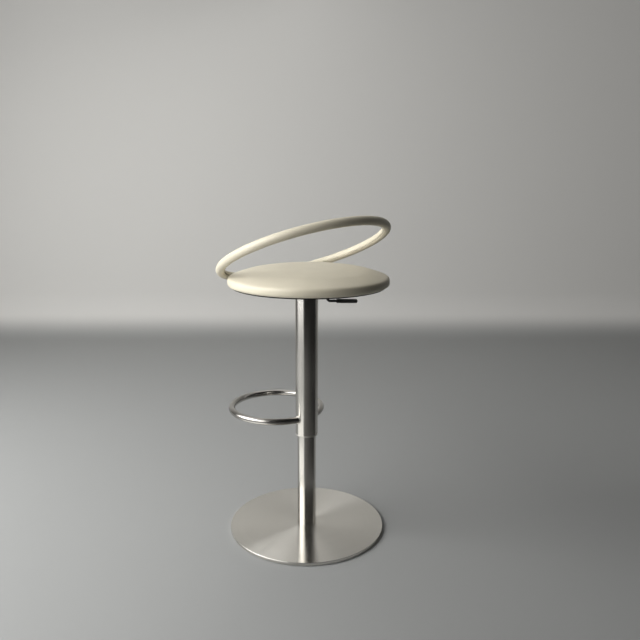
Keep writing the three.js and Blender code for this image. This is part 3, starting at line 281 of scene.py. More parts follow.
class Finish:
    """One procedural material, read from the piece's own Object coordinates"""

    def __init__(self, name, colour, roughness, metallic=0.0, **sockets):
        self.colour = colour
        self.roughness = roughness
        self.material = bpy.data.materials.new(name)
        self.material.use_nodes = True
        self.tree = self.material.node_tree
        self.shader = self.tree.nodes["Principled BSDF"]
        self.set(Base_Color=(*colour, 1), Roughness=roughness, Metallic=metallic, **sockets)
        self.coordinates = self.node("ShaderNodeTexCoord").outputs["Object"]
        self.normal = None

    def set(self, **values):
        """Gives inputs of the shader plain values"""
        for key, value in values.items():
            self.shader.inputs[key.replace("_", " ")].default_value = value

    def feed(self, key, socket):
        """Links a socket to an input of the shader"""
        self.tree.links.new(socket, self.shader.inputs[key])

    def node(self, kind, inputs=(), **settings):
        """Adds a node to the material"""
        return add_node(self.tree, kind, inputs, **settings)

    def maths(self, operation, *values):
        """The result of an operation on sockets or numbers"""
        return self.node("ShaderNodeMath", dict(enumerate(values)), operation=operation).outputs[0]

    def scaled(self, scale):
        """Coordinates stretched by a scale along each axis"""
        return self.node("ShaderNodeMapping", {"Vector": self.coordinates, "Scale": scale}).outputs["Vector"]

    def noise(self, vector, scale, detail=3.0, rough=0.55):
        """A noise pattern over coordinates"""
        inputs = {"Vector": vector, "Scale": scale, "Detail": detail, "Roughness": rough}
        return self.node("ShaderNodeTexNoise", inputs).outputs["Fac"]

    def between(self, value, low, high, from_low=NOISE_LOW, from_high=NOISE_HIGH):
        """A value that goes from low to high as another goes from its low to its high"""
        inputs = {"Value": value, 1: from_low, 2: from_high, 3: low, 4: high}
        return self.node("ShaderNodeMapRange", inputs).outputs[0]

    def tint(self, value, low, high):
        """Base colour that goes from one colour to another with a pattern"""
        ramp = self.node("ShaderNodeValToRGB", {"Fac": value})
        stops = ramp.color_ramp.elements
        stops[0].position, stops[1].position = NOISE_LOW, NOISE_HIGH
        stops[0].color, stops[1].color = (*low, 1), (*high, 1)
        self.feed("Base Color", ramp.outputs["Color"])

    def bump(self, height, distance, strength):
        """Lays a height pattern over those that are there already"""
        inputs = {"Height": height, "Distance": distance, "Strength": strength}
        if self.normal is not None:
            inputs["Normal"] = self.normal
        self.normal = self.node("ShaderNodeBump", inputs).outputs["Normal"]
        self.feed("Normal", self.normal)

    def brushed(self):
        """Stretches the highlight across the brush lines"""
        self.set(Anisotropic=0.95, Anisotropic_Rotation=0.25)
        self.feed("Tangent", self.node("ShaderNodeTangent", direction_type="RADIAL", axis="Z").outputs[0])

    def surface(self, patches, tones, texture, roughs, bump):
        """Patches of darker and lighter colour, and a fine texture in the roughness and the height"""
        self.tint(patches, shade(self.colour, tones[0]), shade(self.colour, tones[1]))
        self.feed("Roughness", self.between(texture, self.roughness + roughs[0], self.roughness + roughs[1]))
        self.bump(texture, *bump)
        return self.material


def column_steel(name, colour, roughness):
    """Stainless tube with fine brush lines round it"""
    finish = Finish(name, colour, roughness, 1.0)
    finish.brushed()
    lines = finish.noise(finish.scaled((5, 5, 2400)), 1.0, 4.0, 0.7)
    bands = finish.noise(finish.scaled((3, 3, 60)), 1.0, 3.0, 0.5)
    return finish.surface(bands, (0.99, 1.01), lines, (-0.01, 0.01), (0.000002, 0.12))


def polar(finish, centre, along_scale, across_scale):
    """Coordinates that run round a centre and outwards from it"""
    inputs = {0: finish.coordinates, 1: tuple(-c for c in centre)}
    moved = finish.node("ShaderNodeVectorMath", inputs, operation="ADD").outputs[0]
    x, y, z = finish.node("ShaderNodeSeparateXYZ", {0: moved}).outputs
    square = finish.maths("ADD", finish.maths("MULTIPLY", x, x), finish.maths("MULTIPLY", y, y))
    inputs = {
        0: finish.maths("MULTIPLY", finish.maths("SQRT", square), across_scale),
        1: finish.maths("MULTIPLY", finish.maths("ARCTAN2", y, x), along_scale),
        2: finish.maths("MULTIPLY", z, across_scale),
    }
    return finish.node("ShaderNodeCombineXYZ", inputs).outputs[0]


def disc_steel(name, colour, roughness):
    """Stainless disc brushed in rings round its centre"""
    finish = Finish(name, colour, roughness, 1.0)
    finish.brushed()
    rings = finish.noise(polar(finish, (0, 0, 0), 2.0, 2200), 1.0, 4.0, 0.7)
    wide = finish.noise(polar(finish, (0, 0, 0), 0.6, 160), 1.0, 3.0, 0.5)
    return finish.surface(wide, (0.98, 1.02), rings, (-0.015, 0.02), (0.000004, 0.12))


def bent_steel(name, colour, roughness, centre):
    """Stainless tube bent into a ring, with brush lines round the tube"""
    finish = Finish(name, colour, roughness, 1.0)
    lines = finish.noise(polar(finish, centre, 260, 120), 1.0, 3.0, 0.65)
    patches = finish.noise(finish.coordinates, 40.0)
    return finish.surface(patches, (0.95, 1.04), lines, (-0.04, 0.05), (0.00002, 0.4))


def plain_metal(name, colour, roughness, speckle=900.0):
    """Rolled, plated or turned metal with a fine speckle"""
    finish = Finish(name, colour, roughness, 1.0)
    grain = finish.noise(finish.coordinates, speckle, 3.0, 0.6)
    patches = finish.noise(finish.coordinates, 60.0)
    return finish.surface(patches, (0.92, 1.05), grain, (-0.06, 0.08), (0.00003, 0.3))


def leather(name, colour, roughness, grain_size):
    """Smooth cowhide: small pebbled cells, fine pores and a faint unevenness of colour"""
    finish = Finish(name, colour, roughness, Specular_IOR_Level=0.6)
    # A noise stretches and shifts the cells, so that no two are alike
    warp = finish.noise(finish.coordinates, 0.35 / grain_size, 2.0)
    inputs = {0: finish.coordinates, 1: warp, 2: finish.maths("MULTIPLY", warp, grain_size * 0.8)}
    bent = finish.node("ShaderNodeVectorMath", inputs, operation="MULTIPLY_ADD").outputs[0]
    inputs = {"Vector": bent, "Scale": 1 / grain_size}
    cells = finish.node("ShaderNodeTexVoronoi", inputs, feature="DISTANCE_TO_EDGE").outputs["Distance"]
    pores = finish.noise(finish.coordinates, 2.6 / grain_size, 3.0, 0.6)
    clouds = finish.noise(finish.coordinates, 14.0, 3.0, 0.5)
    finish.bump(clouds, 0.0008, 0.25)
    finish.bump(finish.between(cells, 0.0, 1.0, 0.0, 0.25), 0.00007, 0.5)
    return finish.surface(clouds, (0.965, 1.025), pores, (-0.05, 0.07), (0.00004, 0.35))


def waxed_thread(name, colour, roughness):
    """Sewing thread with its twist"""
    finish = Finish(name, colour, roughness)
    twist = finish.noise(finish.coordinates, 3000.0, 2.0)
    finish.tint(twist, shade(colour, 0.8), shade(colour, 1.1))
    finish.bump(twist, 0.00006, 0.6)
    return finish.material


def moulded(name, colour, roughness, grain=1600.0, **sockets):
    """Moulded plastic or rubber with a fine spark-eroded texture"""
    finish = Finish(name, colour, roughness, **sockets)
    texture = finish.noise(finish.coordinates, grain, 2.0, 0.6)
    patches = finish.noise(finish.coordinates, 30.0)
    return finish.surface(patches, (0.9, 1.1), texture, (-0.05, 0.08), (0.00005, 0.5))


def powder_coat(name, colour, roughness):
    """Black powder coat over steel, with a faint orange peel"""
    finish = Finish(name, colour, roughness, Coat_Weight=0.15, Coat_Roughness=0.35)
    peel = finish.noise(finish.coordinates, 480.0, 2.0, 0.5)
    patches = finish.noise(finish.coordinates, 45.0)
    return finish.surface(patches, (0.85, 1.15), peel, (-0.05, 0.06), (0.00006, 0.5))


def plywood(name, colour, roughness):
    """Birch plywood: plies along the thickness and grain across the face"""
    finish = Finish(name, colour, roughness)
    inputs = {"Vector": finish.coordinates, "Scale": 130.0, "Distortion": 0.4}
    plies = finish.node("ShaderNodeTexWave", inputs, bands_direction="Z").outputs["Fac"]
    grain = finish.noise(finish.scaled((30, 420, 30)), 1.0, 4.0, 0.6)
    mixed = finish.maths("ADD", finish.maths("MULTIPLY", plies, 0.4), finish.maths("MULTIPLY", grain, 0.6))
    finish.tint(mixed, shade(colour, 0.7), shade(colour, 1.15))
    finish.bump(grain, 0.0001, 0.4)
    return finish.material


def foam(name, colour, roughness):
    """Open-celled foam"""
    finish = Finish(name, colour, roughness)
    inputs = {"Vector": finish.coordinates, "Scale": 900.0}
    cells = finish.node("ShaderNodeTexVoronoi", inputs).outputs["Distance"]
    finish.tint(cells, shade(colour, 0.8), colour)
    finish.bump(cells, 0.0004, 0.7)
    return finish.material


FINISHES = {}


def finish_of(key):
    """The finish of a material slot, or one that a piece has for itself, made when it is first asked for"""
    if key not in FINISHES:
        look = bpy.context.scene.stool_finish
        steel, steel_roughness = look.column_colour, look.column_roughness
        hide, hide_roughness = look.leather_colour, look.leather_roughness
        FINISHES[key] = {
            "column_stainless": lambda: column_steel("Brushed column steel", steel, steel_roughness),
            "polished_tube": lambda: column_steel("Polished column steel", steel, steel_roughness * 0.9),
            # Painted highlight: the collar's steel is much lighter than the tubes', so that its edge shows as a
            # bright line
            "highlight_edge": lambda: plain_metal("Steel edge with painted highlight", (0.84, 0.82, 0.78), 0.5, 1200.0),
            "ring_steel": lambda: bent_steel(
                "Brushed ring steel", shade(steel, 0.72), steel_roughness, rail_sizes()[0]
            ),
            "weld": lambda: plain_metal("Polished weld", shade(steel, 1.05), 0.3, 500.0),
            "base_stainless": lambda: disc_steel("Ring-brushed steel", look.disc_colour, look.disc_roughness),
            "cream_leather": lambda: leather("Cream leather", hide, hide_roughness, look.grain),
            # The thread is far darker than the leather: partly its own tone, partly painted shade of the stitch
            # holes
            "thread": lambda: waxed_thread("Waxed thread with painted stitch-hole shade", shade(hide, 0.3), 0.6),
            "plain_steel": lambda: plain_metal("Mill steel", (0.25, 0.26, 0.27), 0.45),
            "zinc_steel": lambda: plain_metal("Zinc plate", (0.42, 0.44, 0.46), 0.36),
            "black_steel": lambda: powder_coat("Black powder coat", (0.014, 0.014, 0.015), 0.45),
            "black_plastic": lambda: moulded("Black plastic", (0.05, 0.048, 0.045), 0.42),
            "matt_cover": lambda: moulded(
                "Matt black cover", (0.009, 0.009, 0.009), 0.85, Specular_IOR_Level=0.2
            ),
            "nylon": lambda: moulded("Natural nylon", (0.68, 0.67, 0.62), 0.55, Subsurface_Weight=0.1),
            "black_rubber": lambda: moulded("Black rubber", (0.012, 0.012, 0.012), 0.8, 900.0),
            "foam": lambda: foam("Yellow foam", (0.78, 0.72, 0.46), 0.95),
            "plywood": lambda: plywood("Birch plywood", (0.58, 0.4, 0.2), 0.7),
        }[key]()
    return FINISHES[key]


# What a user may change


class StoolFinish(bpy.types.PropertyGroup):
    """Colours and sheen of the stool's finishes"""

    leather_colour: bpy.props.FloatVectorProperty(
        name="Leather", description="Colour of the seat and hoop leather",
        subtype="COLOR", size=3, min=0, max=1, default=(0.74, 0.682, 0.54),
    )
    leather_roughness: bpy.props.FloatProperty(
        name="Leather roughness", description="Roughness of the leather",
        subtype="FACTOR", min=0, max=1, default=0.45,
    )
    grain: bpy.props.FloatProperty(
        name="Grain", description="Width of the leather's pebbled cells",
        subtype="DISTANCE", unit="LENGTH", min=0.0004, max=0.004, default=0.0011,
    )
    column_colour: bpy.props.FloatVectorProperty(
        name="Column steel", description="Colour of the brushed tubes",
        subtype="COLOR", size=3, min=0, max=1, default=(0.61, 0.59, 0.555),
    )
    column_roughness: bpy.props.FloatProperty(
        name="Column roughness", description="Roughness of the tubes",
        subtype="FACTOR", min=0, max=1, default=0.2,
    )
    disc_colour: bpy.props.FloatVectorProperty(
        name="Base steel", description="Colour of the base disc",
        subtype="COLOR", size=3, min=0, max=1, default=(0.72, 0.7, 0.655),
    )
    disc_roughness: bpy.props.FloatProperty(
        name="Base roughness", description="Roughness of the base disc",
        subtype="FACTOR", min=0, max=1, default=0.25,
    )


class StoolSeat(bpy.types.PropertyGroup):
    """Padding of the seat"""

    pressure: bpy.props.FloatProperty(
        name="Pressure", description="Pressure of the foam under the leather", min=0, max=20, default=4
    )
    swell_limit: bpy.props.FloatProperty(
        name="Swell limit", description="How far the padding may move out",
        subtype="DISTANCE", unit="LENGTH", min=0, max=0.01, default=0.0012,
    )
    pucker_depth: bpy.props.FloatProperty(
        name="Pucker depth", description="Depth of the tucks along the lower edge",
        subtype="DISTANCE", unit="LENGTH", min=0, max=0.004, default=0.0016,
    )


class StoolHoop(bpy.types.PropertyGroup):
    """Sewing of the hoop's leather wrap"""

    stitches: bpy.props.IntProperty(
        name="Stitches", description="Number of stitches round the inside of the hoop",
        min=60, max=600, default=216,
    )
    stitch_length: bpy.props.FloatProperty(
        name="Stitch length", description="Length of one stitch across the seam",
        subtype="DISTANCE", unit="LENGTH", min=0.001, max=0.01, default=0.0046,
    )
    thread: bpy.props.FloatProperty(
        name="Thread", description="Thickness of the thread",
        subtype="DISTANCE", unit="LENGTH", min=0.0002, max=0.002, default=0.0013,
    )


class StoolStage(bpy.types.PropertyGroup):
    """Studio round the stool"""

    floor_colour: bpy.props.FloatVectorProperty(
        name="Floor", description="Colour of the floor",
        subtype="COLOR", size=3, min=0, max=1, default=(0.36, 0.365, 0.362),
    )
    backdrop_colour: bpy.props.FloatVectorProperty(
        name="Backdrop", description="Colour of the backdrop",
        subtype="COLOR", size=3, min=0, max=1, default=(0.71, 0.7, 0.677),
    )
    backdrop_glow: bpy.props.FloatProperty(
        name="Backdrop glow", description="Evenness added to the backdrop where it is seen",
        min=0, max=1, default=0.05,
    )
    key_power: bpy.props.FloatProperty(
        name="Key light", description="Power of the window light on the left",
        unit="POWER", min=0, max=500, default=23,
    )
    wide_power: bpy.props.FloatProperty(
        name="Wide light", description="Power of the wide soft light on the left",
        unit="POWER", min=0, max=500, default=54,
    )
    low_power: bpy.props.FloatProperty(
        name="Low light", description="Power of the light from the foot of the window",
        unit="POWER", min=0, max=500, default=11,
    )
    ceiling_power: bpy.props.FloatProperty(
        name="Ceiling light", description="Power of the soft light overhead",
        unit="POWER", min=0, max=500, default=8,
    )
    sky_strength: bpy.props.FloatProperty(
        name="Sky", description="Brightness of the plain background beyond the floor, where it is seen",
        min=0, max=1, default=0.5,
    )
    fill_strength: bpy.props.FloatProperty(
        name="Fill", description="Strength of the light from the whole room", min=0, max=2, default=0.23
    )


# Base and column


class STOOL_OT_base_disc(bpy.types.Operator):
    """Round base: a stainless skin with a small rounded rim, brushed in rings"""

    bl_idname = "stool.base_disc"
    bl_label = "Base Disc"

    def execute(self, context):
        low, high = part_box("base_cover")
        radius = high.x
        wall, rim, clearance = 0.0012, 0.0011, 0.0003
        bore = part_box("lower_tube")[1].x + clearance
        disc = cylinder("base_disc", 192, radius, low.z, high.z)
        cut_away(disc, faces_down)
        open_up(disc, faces_up, radius - bore)
        round_off(
            disc, "EDGE",
            lambda place, along: place.z > high.z - NEAR and place.xy.length > radius - wall, rim, 5,
        )
        give_wall(disc, wall)
        smooth(disc, 40)
        dress(disc, BASE, "base_stainless", finish_of("base_stainless"), "base_cover")
        return {"FINISHED"}


def open_tube(name, box, wall, lip):
    """A tube of a box's width and height, with thin walls and slightly rounded ends"""
    low, high = box
    tube = cylinder(name, 128, high.x, low.z, high.z, end_fill_type="NOTHING")
    give_wall(tube, wall)
    finished(tube, "BEVEL", width=lip, segments=3, limit_method="ANGLE", angle_limit=math.radians(50))
    return smooth(tube, 40)


class STOOL_OT_column(bpy.types.Operator):
    """Telescoping column: the fixed lower tube, the upper tube and the ring at its mouth, whose lightened steel is
    a painted highlight
    """

    bl_idname = "stool.column"
    bl_label = "Column Tubes"

    def execute(self, context):
        wall, lip = 0.0015, 0.0003
        ring_lip, ring_clearance = 0.0007, 0.0004
        lower_box, ring_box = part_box("lower_tube"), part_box("collar_ring")
        ring_wall = ring_box[1].x - (lower_box[1].x + ring_clearance)
        lower = open_tube("lower_column", lower_box, wall, lip)
        dress(lower, BASE, "column_stainless", finish_of("polished_tube"), "lower_tube")
        upper = open_tube("upper_column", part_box("upper_tube"), wall, lip)
        dress(upper, SEAT, "column_stainless", finish_of("column_stainless"), "upper_tube")
        collar = open_tube("collar_trim", ring_box, ring_wall, ring_lip)
        dress(collar, SEAT, "column_stainless", finish_of("highlight_edge"), "collar_ring")
        return {"FINISHED"}


def rail_sizes():
    """Centre, centreline radius and tube radius of the foot ring, and the radius of the column it meets"""
    low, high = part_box("foot_ring")
    tube = (high.z - low.z) / 2
    radius = (high.x - low.x) / 2 - tube
    centre = Vector((0, low.y + tube + radius, (low.z + high.z) / 2))
    return centre, radius, tube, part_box("upper_tube")[1].x


class STOOL_OT_foot_rail(bpy.types.Operator):
    """Foot ring: a bent tube whose two ends are coped and welded to the column"""

    bl_idname = "stool.foot_rail"
    bl_label = "Foot Ring"

    def execute(self, context):
        centre, radius, tube, column = rail_sizes()
        overrun, sink = 0.05, 0.0002
        cutter = cylinder("rail_cope_tool", 128, column - sink, centre.z - overrun, centre.z + overrun)
        clear_selection()
        bpy.ops.mesh.primitive_torus_add(
            major_segments=180, minor_segments=40, major_radius=radius, minor_radius=tube, location=centre
        )
        rail = settle(named("foot_rail"))
        cut_out(rail, cutter)
        smooth(rail, 40)
        dress(rail, SEAT, "column_stainless", finish_of("ring_steel"), "foot_ring")
        for number, side in enumerate((1, -1), 1):
            dress(weld_bead(number, side), SEAT, "column_stainless", finish_of("weld"))
        return {"FINISHED"}


def weld_bead(number, side):
    """Rippled weld along the line where one end of the foot ring meets the column"""
    centre, radius, tube, column = rail_sizes()
    bead, proud = 0.0014, 0.0004
    points, ripples, ripple_share = 96, 24, 0.16
    turn = np.arange(points) * 2 * math.pi / points
    reach = radius + (tube + proud) * np.cos(turn)
    cosine = (reach**2 + radius**2 - (column + proud) ** 2) / (2 * reach * radius)
    angle = np.arccos(cosine) * side
    height = centre.z + (tube + proud) * np.sin(turn)
    line = np.stack([centre.x + np.sin(angle) * reach, centre.y + np.cos(angle) * reach, height], axis=1)
    radii = bead * (1 + ripple_share * np.cos(turn * ripples + number))
    return smooth(swept_ring(f"foot_rail_weld_{number}", line, radii, 12), 60)


# Release lever


class STOOL_OT_release_lever(bpy.types.Operator):
    """Release lever: a bent steel rod with a soft plastic grip"""

    bl_idname = "stool.release_lever"
    bl_label = "Release Lever"

    def execute(self, context):
        slope, arm_slope = math.radians(12.5), math.radians(7.5)
        inner_reach, knee_reach, bend_reach, tip_reach = 0.045, 0.027, 0.044, 0.156
        bend_drop, corner_cut = 0.0334, 0.008
        rod_radius, rod_short = 0.0035, 0.0063
        grip_length, grip_radius, tip_round, heel_round = 0.078, 0.0059, 0.003, 0.0012
        start = LEVER_PIVOT + Vector((inner_reach, 0, inner_reach * math.tan(slope)))
        knee = LEVER_PIVOT - Vector((knee_reach, 0, knee_reach * math.tan(slope)))
        bend = Vector((LEVER_PIVOT.x - bend_reach, 0, knee.z - bend_drop))
        arm = Vector((-math.cos(arm_slope), 0, -math.sin(arm_slope)))
        tip = bend + arm * ((tip_reach - bend_reach) / math.cos(arm_slope))
        corners = [start, knee, bend, tip - arm * rod_short]
        wire = bent_wire("lever_wire", bent_round(corners, corner_cut), rod_radius)
        dress(wire, LEVER, "black_steel", finish_of("black_steel"), "lever_rod")
        clear_selection()
        bpy.ops.mesh.primitive_cylinder_add(
            vertices=64, radius=grip_radius, depth=grip_length, location=tip - arm * (grip_length / 2),
            rotation=Vector((0, 0, 1)).rotation_difference(arm).to_euler(),
        )
        grip = settle(named("lever_handle"))
        for end, width, steps in ((tip, tip_round, 8), (tip - arm * grip_length, heel_round, 4)):
            round_off(grip, "FACE", lambda place, normal: (place - end).length < NEAR, width, steps)
        smooth(grip, 50)
        dress(grip, LEVER, "black_plastic", finish_of("black_plastic"), "lever_grip")
        return {"FINISHED"}


def bent_round(corners, cut, steps=8):
    """A line through corners, each bent round from a cut before it to a cut after it"""
    line = [corners[0]]
    for before, corner, after in zip(corners, corners[1:], corners[2:]):
        first = corner + (before - corner).normalized() * cut
        last = corner + (after - corner).normalized() * cut
        for step in range(steps + 1):
            share = step / steps
            line.append(first.lerp(corner, share).lerp(corner.lerp(last, share), share))
    return [*line, corners[-1]]


def bent_wire(name, line, radius):
    """A round rod along a line of points, from a curve with a round bevel and closed ends"""
    clear_selection()
    bpy.ops.curve.primitive_bezier_curve_add(location=(0, 0, 0))
    curve = named(name).data
    curve.splines.clear()
    spline = curve.splines.new("POLY")
    spline.points.add(len(line) - 1)
    for point, place in zip(spline.points, line):
        point.co = (*place, 1)
    curve.dimensions = "3D"
    curve.bevel_depth = radius
    curve.bevel_resolution = 6
    curve.use_fill_caps = True
    bpy.ops.object.convert(target="MESH")
    return smooth(settle(facing_out(bpy.context.object)), 50)


# Seat

# Tucks of the leather: place round the seat in degrees, width in metres and share of the full depth
TUCKS = [
    (56, 0.004, 1.0), (60, 0.003, 0.8), (64, 0.003, 0.5), (73, 0.004, 0.35), (38, 0.004, 0.4),
    (21, 0.004, 0.4), (101, 0.005, 0.5), (-8, 0.004, 0.4), (-41, 0.005, 0.7), (-66, 0.003, 0.5),
    (-97, 0.004, 0.6), (-129, 0.004, 0.8), (-160, 0.005, 0.5), (168, 0.003, 0.6), (141, 0.004, 0.7),
    (122, 0.004, 0.4),
]


def seat_place():
    """The y of the seat's centre, the seat's radius and the height of its foot"""
    low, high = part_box("seat_cover")
    return (low.y + high.y) / 2, (high.x - low.x) / 2, low.z


def seat_profile():
    """Outline of the cushion from its lower edge to the crown, as radius and height"""
    _, radius, foot_z = seat_place()
    swell, side, crown = 0.0091, 0.0205, 0.0285
    foot = radius - swell
    side_shares = [(0, 0), (0.55, 0.07), (0.9, 0.24), (1, 0.46), (0.99, 0.73), (0.84, 1)]
    crown_shares = [
        (0.975, 0.1), (0.94, 0.2), (0.875, 0.345), (0.8, 0.505),
        (0.72, 0.645), (0.48, 0.88), (0.24, 0.97), (0, 1),
    ]
    outline = [(foot + out * swell, foot_z + up * side) for out, up in side_shares]
    outline += [(out * radius, foot_z + side + up * crown) for out, up in crown_shares]
    return np.array(outline)


def rounded(outline, count):
    """A smooth line through an outline's points, with a count of points at even distances"""
    points = np.vstack([2 * outline[0] - outline[1], outline, outline[-2] * [-1, 1]])
    fine = []
    for p0, p1, p2, p3 in zip(points, points[1:], points[2:], points[3:]):
        for t in np.linspace(0, 1, 24, endpoint=False):
            fine.append(
                0.5 * ((2 * p1) + (-p0 + p2) * t + (2 * p0 - 5 * p1 + 4 * p2 - p3) * t**2
                       + (-p0 + 3 * p1 - 3 * p2 + p3) * t**3)
            )
    fine = np.array([*fine, outline[-1]])
    length = np.concatenate([[0], np.cumsum(np.linalg.norm(np.diff(fine, axis=0), axis=1))])
    even = np.linspace(0, length[-1], count)
    return np.stack([np.interp(even, length, fine[:, k]) for k in (0, 1)], axis=1)


def seat_shell(name, rings, sides, inset):
    """A closed cushion of revolution: a foot with room for the lift's plate, a swelling side and a crown"""
    centre_y, _, foot_z = seat_place()
    line = rounded(seat_profile(), rings)
    line[:, 0] = np.maximum(line[:, 0] - inset, 0)
    line[:, 1] = np.maximum(line[:, 1] - inset, foot_z)
    foot_radius = line[0][0]
    hub, hem_step, hem, hem_edge, plate_clearance = 0.0005, 0.0155, 0.014, 0.004, 0.00015
    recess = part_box("mechanism_tray")[1].z + plate_clearance
    under = [(hub, recess), (foot_radius / 2, recess), (foot_radius - hem_step, recess)]
    under += [(foot_radius - hem, foot_z + inset), (foot_radius - hem_edge, foot_z)]
    path = under + [tuple(p) for p in line[:-1]]
    clear_selection()
    bpy.ops.mesh.primitive_circle_add(
        vertices=sides, radius=path[0][0], fill_type="NGON", location=(0, centre_y, path[0][1])
    )
    shell = settle(named(name))
    pick(shell, "FACE", everywhere)
    for (r0, z0), (r1, z1) in zip(path, path[1:]):
        bpy.ops.mesh.extrude_region_move(TRANSFORM_OT_translate={"value": (0, 0, z1 - z0)})
        bpy.ops.transform.resize(value=(r1 / r0, r1 / r0, 1), center_override=(0, centre_y, z1))
    done_editing()
    return facing_out(shell)


class STOOL_OT_seat_cushion(bpy.types.Operator):
    """Seat: leather pulled over foam, tucked in above the black bottom cover"""

    bl_idname = "stool.seat_cushion"
    bl_label = "Seat Cushion"

    def execute(self, context):
        seat = context.scene.stool_seat
        cushion = seat_shell("seat_cushion", rings=64, sides=256, inset=0.0004)
        settle_padding(cushion, seat.pressure, seat.swell_limit)
        tuck_edge(cushion, seat.pucker_depth)
        smooth(cushion, 55)
        dress(cushion, SEAT, "cream_leather", finish_of("cream_leather"), "seat_cover", "seat_foam")
        return {"FINISHED"}


def settle_padding(cushion, pressure, limit):
    """Lets a coarse copy of the cushion swell as cloth, and moves the fine one with it"""
    voxel, held_height, last_frame = 0.0055, 0.006, 20
    only(cushion)
    bpy.ops.object.duplicate()
    cloth = named("cushion_cloth")
    finished(cloth, "REMESH", mode="VOXEL", voxel_size=voxel)
    before = points_of(cloth)
    low = before[:, 2].min()
    held = cloth.vertex_groups.new(name="held")
    held.add([int(i) for i in np.where(before[:, 2] < low + held_height)[0]], 1.0, "REPLACE")
    only(cloth)
    modifier = cloth.modifiers.new("Cloth", "CLOTH")
    settings = modifier.settings
    settings.quality = 6
    settings.mass = 0.3
    settings.tension_stiffness = 25
    settings.compression_stiffness = 25
    settings.bending_stiffness = 1.5
    settings.use_pressure = True
    settings.uniform_pressure_force = pressure
    settings.vertex_group_mass = "held"
    settings.effector_weights.gravity = 0
    modifier.point_cache.frame_start = 1
    modifier.point_cache.frame_end = last_frame
    scene = bpy.context.scene
    for number in range(1, last_frame + 1):
        scene.frame_set(number)
    bpy.ops.object.modifier_apply(modifier=modifier.name)
    scene.frame_set(1)
    moved = points_of(cloth) - before
    length = np.linalg.norm(moved, axis=1)
    moved *= min(1.0, limit / max(float(np.percentile(length, 99)), 1e-6))
    length = np.linalg.norm(moved, axis=1)
    moved *= np.minimum(1.0, limit / np.maximum(length, 1e-9))[:, None]
    fine = points_of(cushion)
    place_points(cushion, fine + nearby(fine, before, moved))
    bpy.data.objects.remove(cloth)


def nearby(places, known, values):
    """Values at places, each the soft mean of the known values round it"""
    reach, neighbours, falloff = 0.012, 10, 3
    tree = KDTree(len(known))
    for i, point in enumerate(known):
        tree.insert(point, i)
    tree.balance()
    out = np.zeros_like(places)
    for i, place in enumerate(places):
        total = 0.0
        for _, j, distance in tree.find_n(place, neighbours):
            weight = math.exp(-((distance / reach) ** 2) * falloff)
            out[i] += values[j] * weight
            total += weight
        if total > 0:
            out[i] /= total
    return out


def tuck_edge(cushion, depth):
    """Small tucks where the leather is pulled under, and a faint unevenness of the padding"""
    points = points_of(cushion)
    centre_y, radius, foot_z = seat_place()
    tuck_height, tuck_spread, edge, foot_thickness, wave_share = 0.004, 0.009, 0.013, 0.0004, 0.22
    x, y = points[:, 0], points[:, 1] - centre_y
    angle, reach = np.arctan2(y, x), np.hypot(x, y)
    rise = points[:, 2] - foot_z
    near_foot = np.exp(-(((rise - tuck_height) / tuck_spread) ** 2))
    near_foot *= (reach > radius - edge) * (rise > foot_thickness)
    tucks = np.zeros(len(points))
    for place, width, share in TUCKS:
        away = (angle - math.radians(place) + math.pi) % (2 * math.pi) - math.pi
        tucks += share * np.exp(-((away * radius / width) ** 2))
    wave = 0.35 * np.sin(angle * 37 + 0.8) + 0.25 * np.sin(angle * 61 + 2.1) + 0.2 * np.sin(angle * 23)
    inward = depth * near_foot * (tucks + wave_share * wave)
    scale = 1 - inward / np.maximum(reach, 1e-6)
    points[:, 0] = x * scale
    points[:, 1] = y * scale + centre_y
    place_points(cushion, points)


class STOOL_OT_underseat_cover(bpy.types.Operator):
    """Black cover under the seat, with an opening for the lift's plate"""

    bl_idname = "stool.underseat_cover"
    bl_label = "Underseat Cover"

    def execute(self, context):
        low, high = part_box("bottom_cover")
        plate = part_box("mechanism_tray")[1]
        margin, corner, cut_depth, edge = 0.004, 0.018, 0.02, 0.0005
        clear_selection()
        bpy.ops.mesh.primitive_cube_add(
            size=1, location=(0, 0, low.z), scale=((plate.x + margin) * 2, (plate.y + margin) * 2, cut_depth)
        )
        cutter = settle(named("plate_opening_tool"))
        round_off(cutter, "EDGE", lambda place, along: abs(along.z) > cut_depth / 2, corner, 10)
        cover = cylinder("underseat_cover", 192, (high.x - low.x) / 2, low.z, high.z, (low.y + high.y) / 2)
        round_off(cover, "FACE", faces_down, edge, 3)
        cut_out(cover, cutter)
        smooth(cover, 40)
        dress(cover, SEAT, "black_plastic", finish_of("matt_cover"), "bottom_cover")
        return {"FINISHED"}


# Hoop

WRAP_RADIUS = 0.0114
WRAP_SIDES = 44
HOOP_TILT = math.radians(23.4)
HOOP_TURN = math.radians(-3.2)  # about the column, against the foot ring
SEAM_TURN = 3 * 2 * math.pi / WRAP_SIDES  # the seam lies three facets below the middle of the hoop's inside


def hoop_place():
    """Centre of the hoop's ring and the radius of its centreline"""
    low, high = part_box("hoop_bar")
    centre = (low + high) / 2
    return centre, (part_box("hoop_cover")[1].x - centre.x) / math.cos(HOOP_TURN) - WRAP_RADIUS


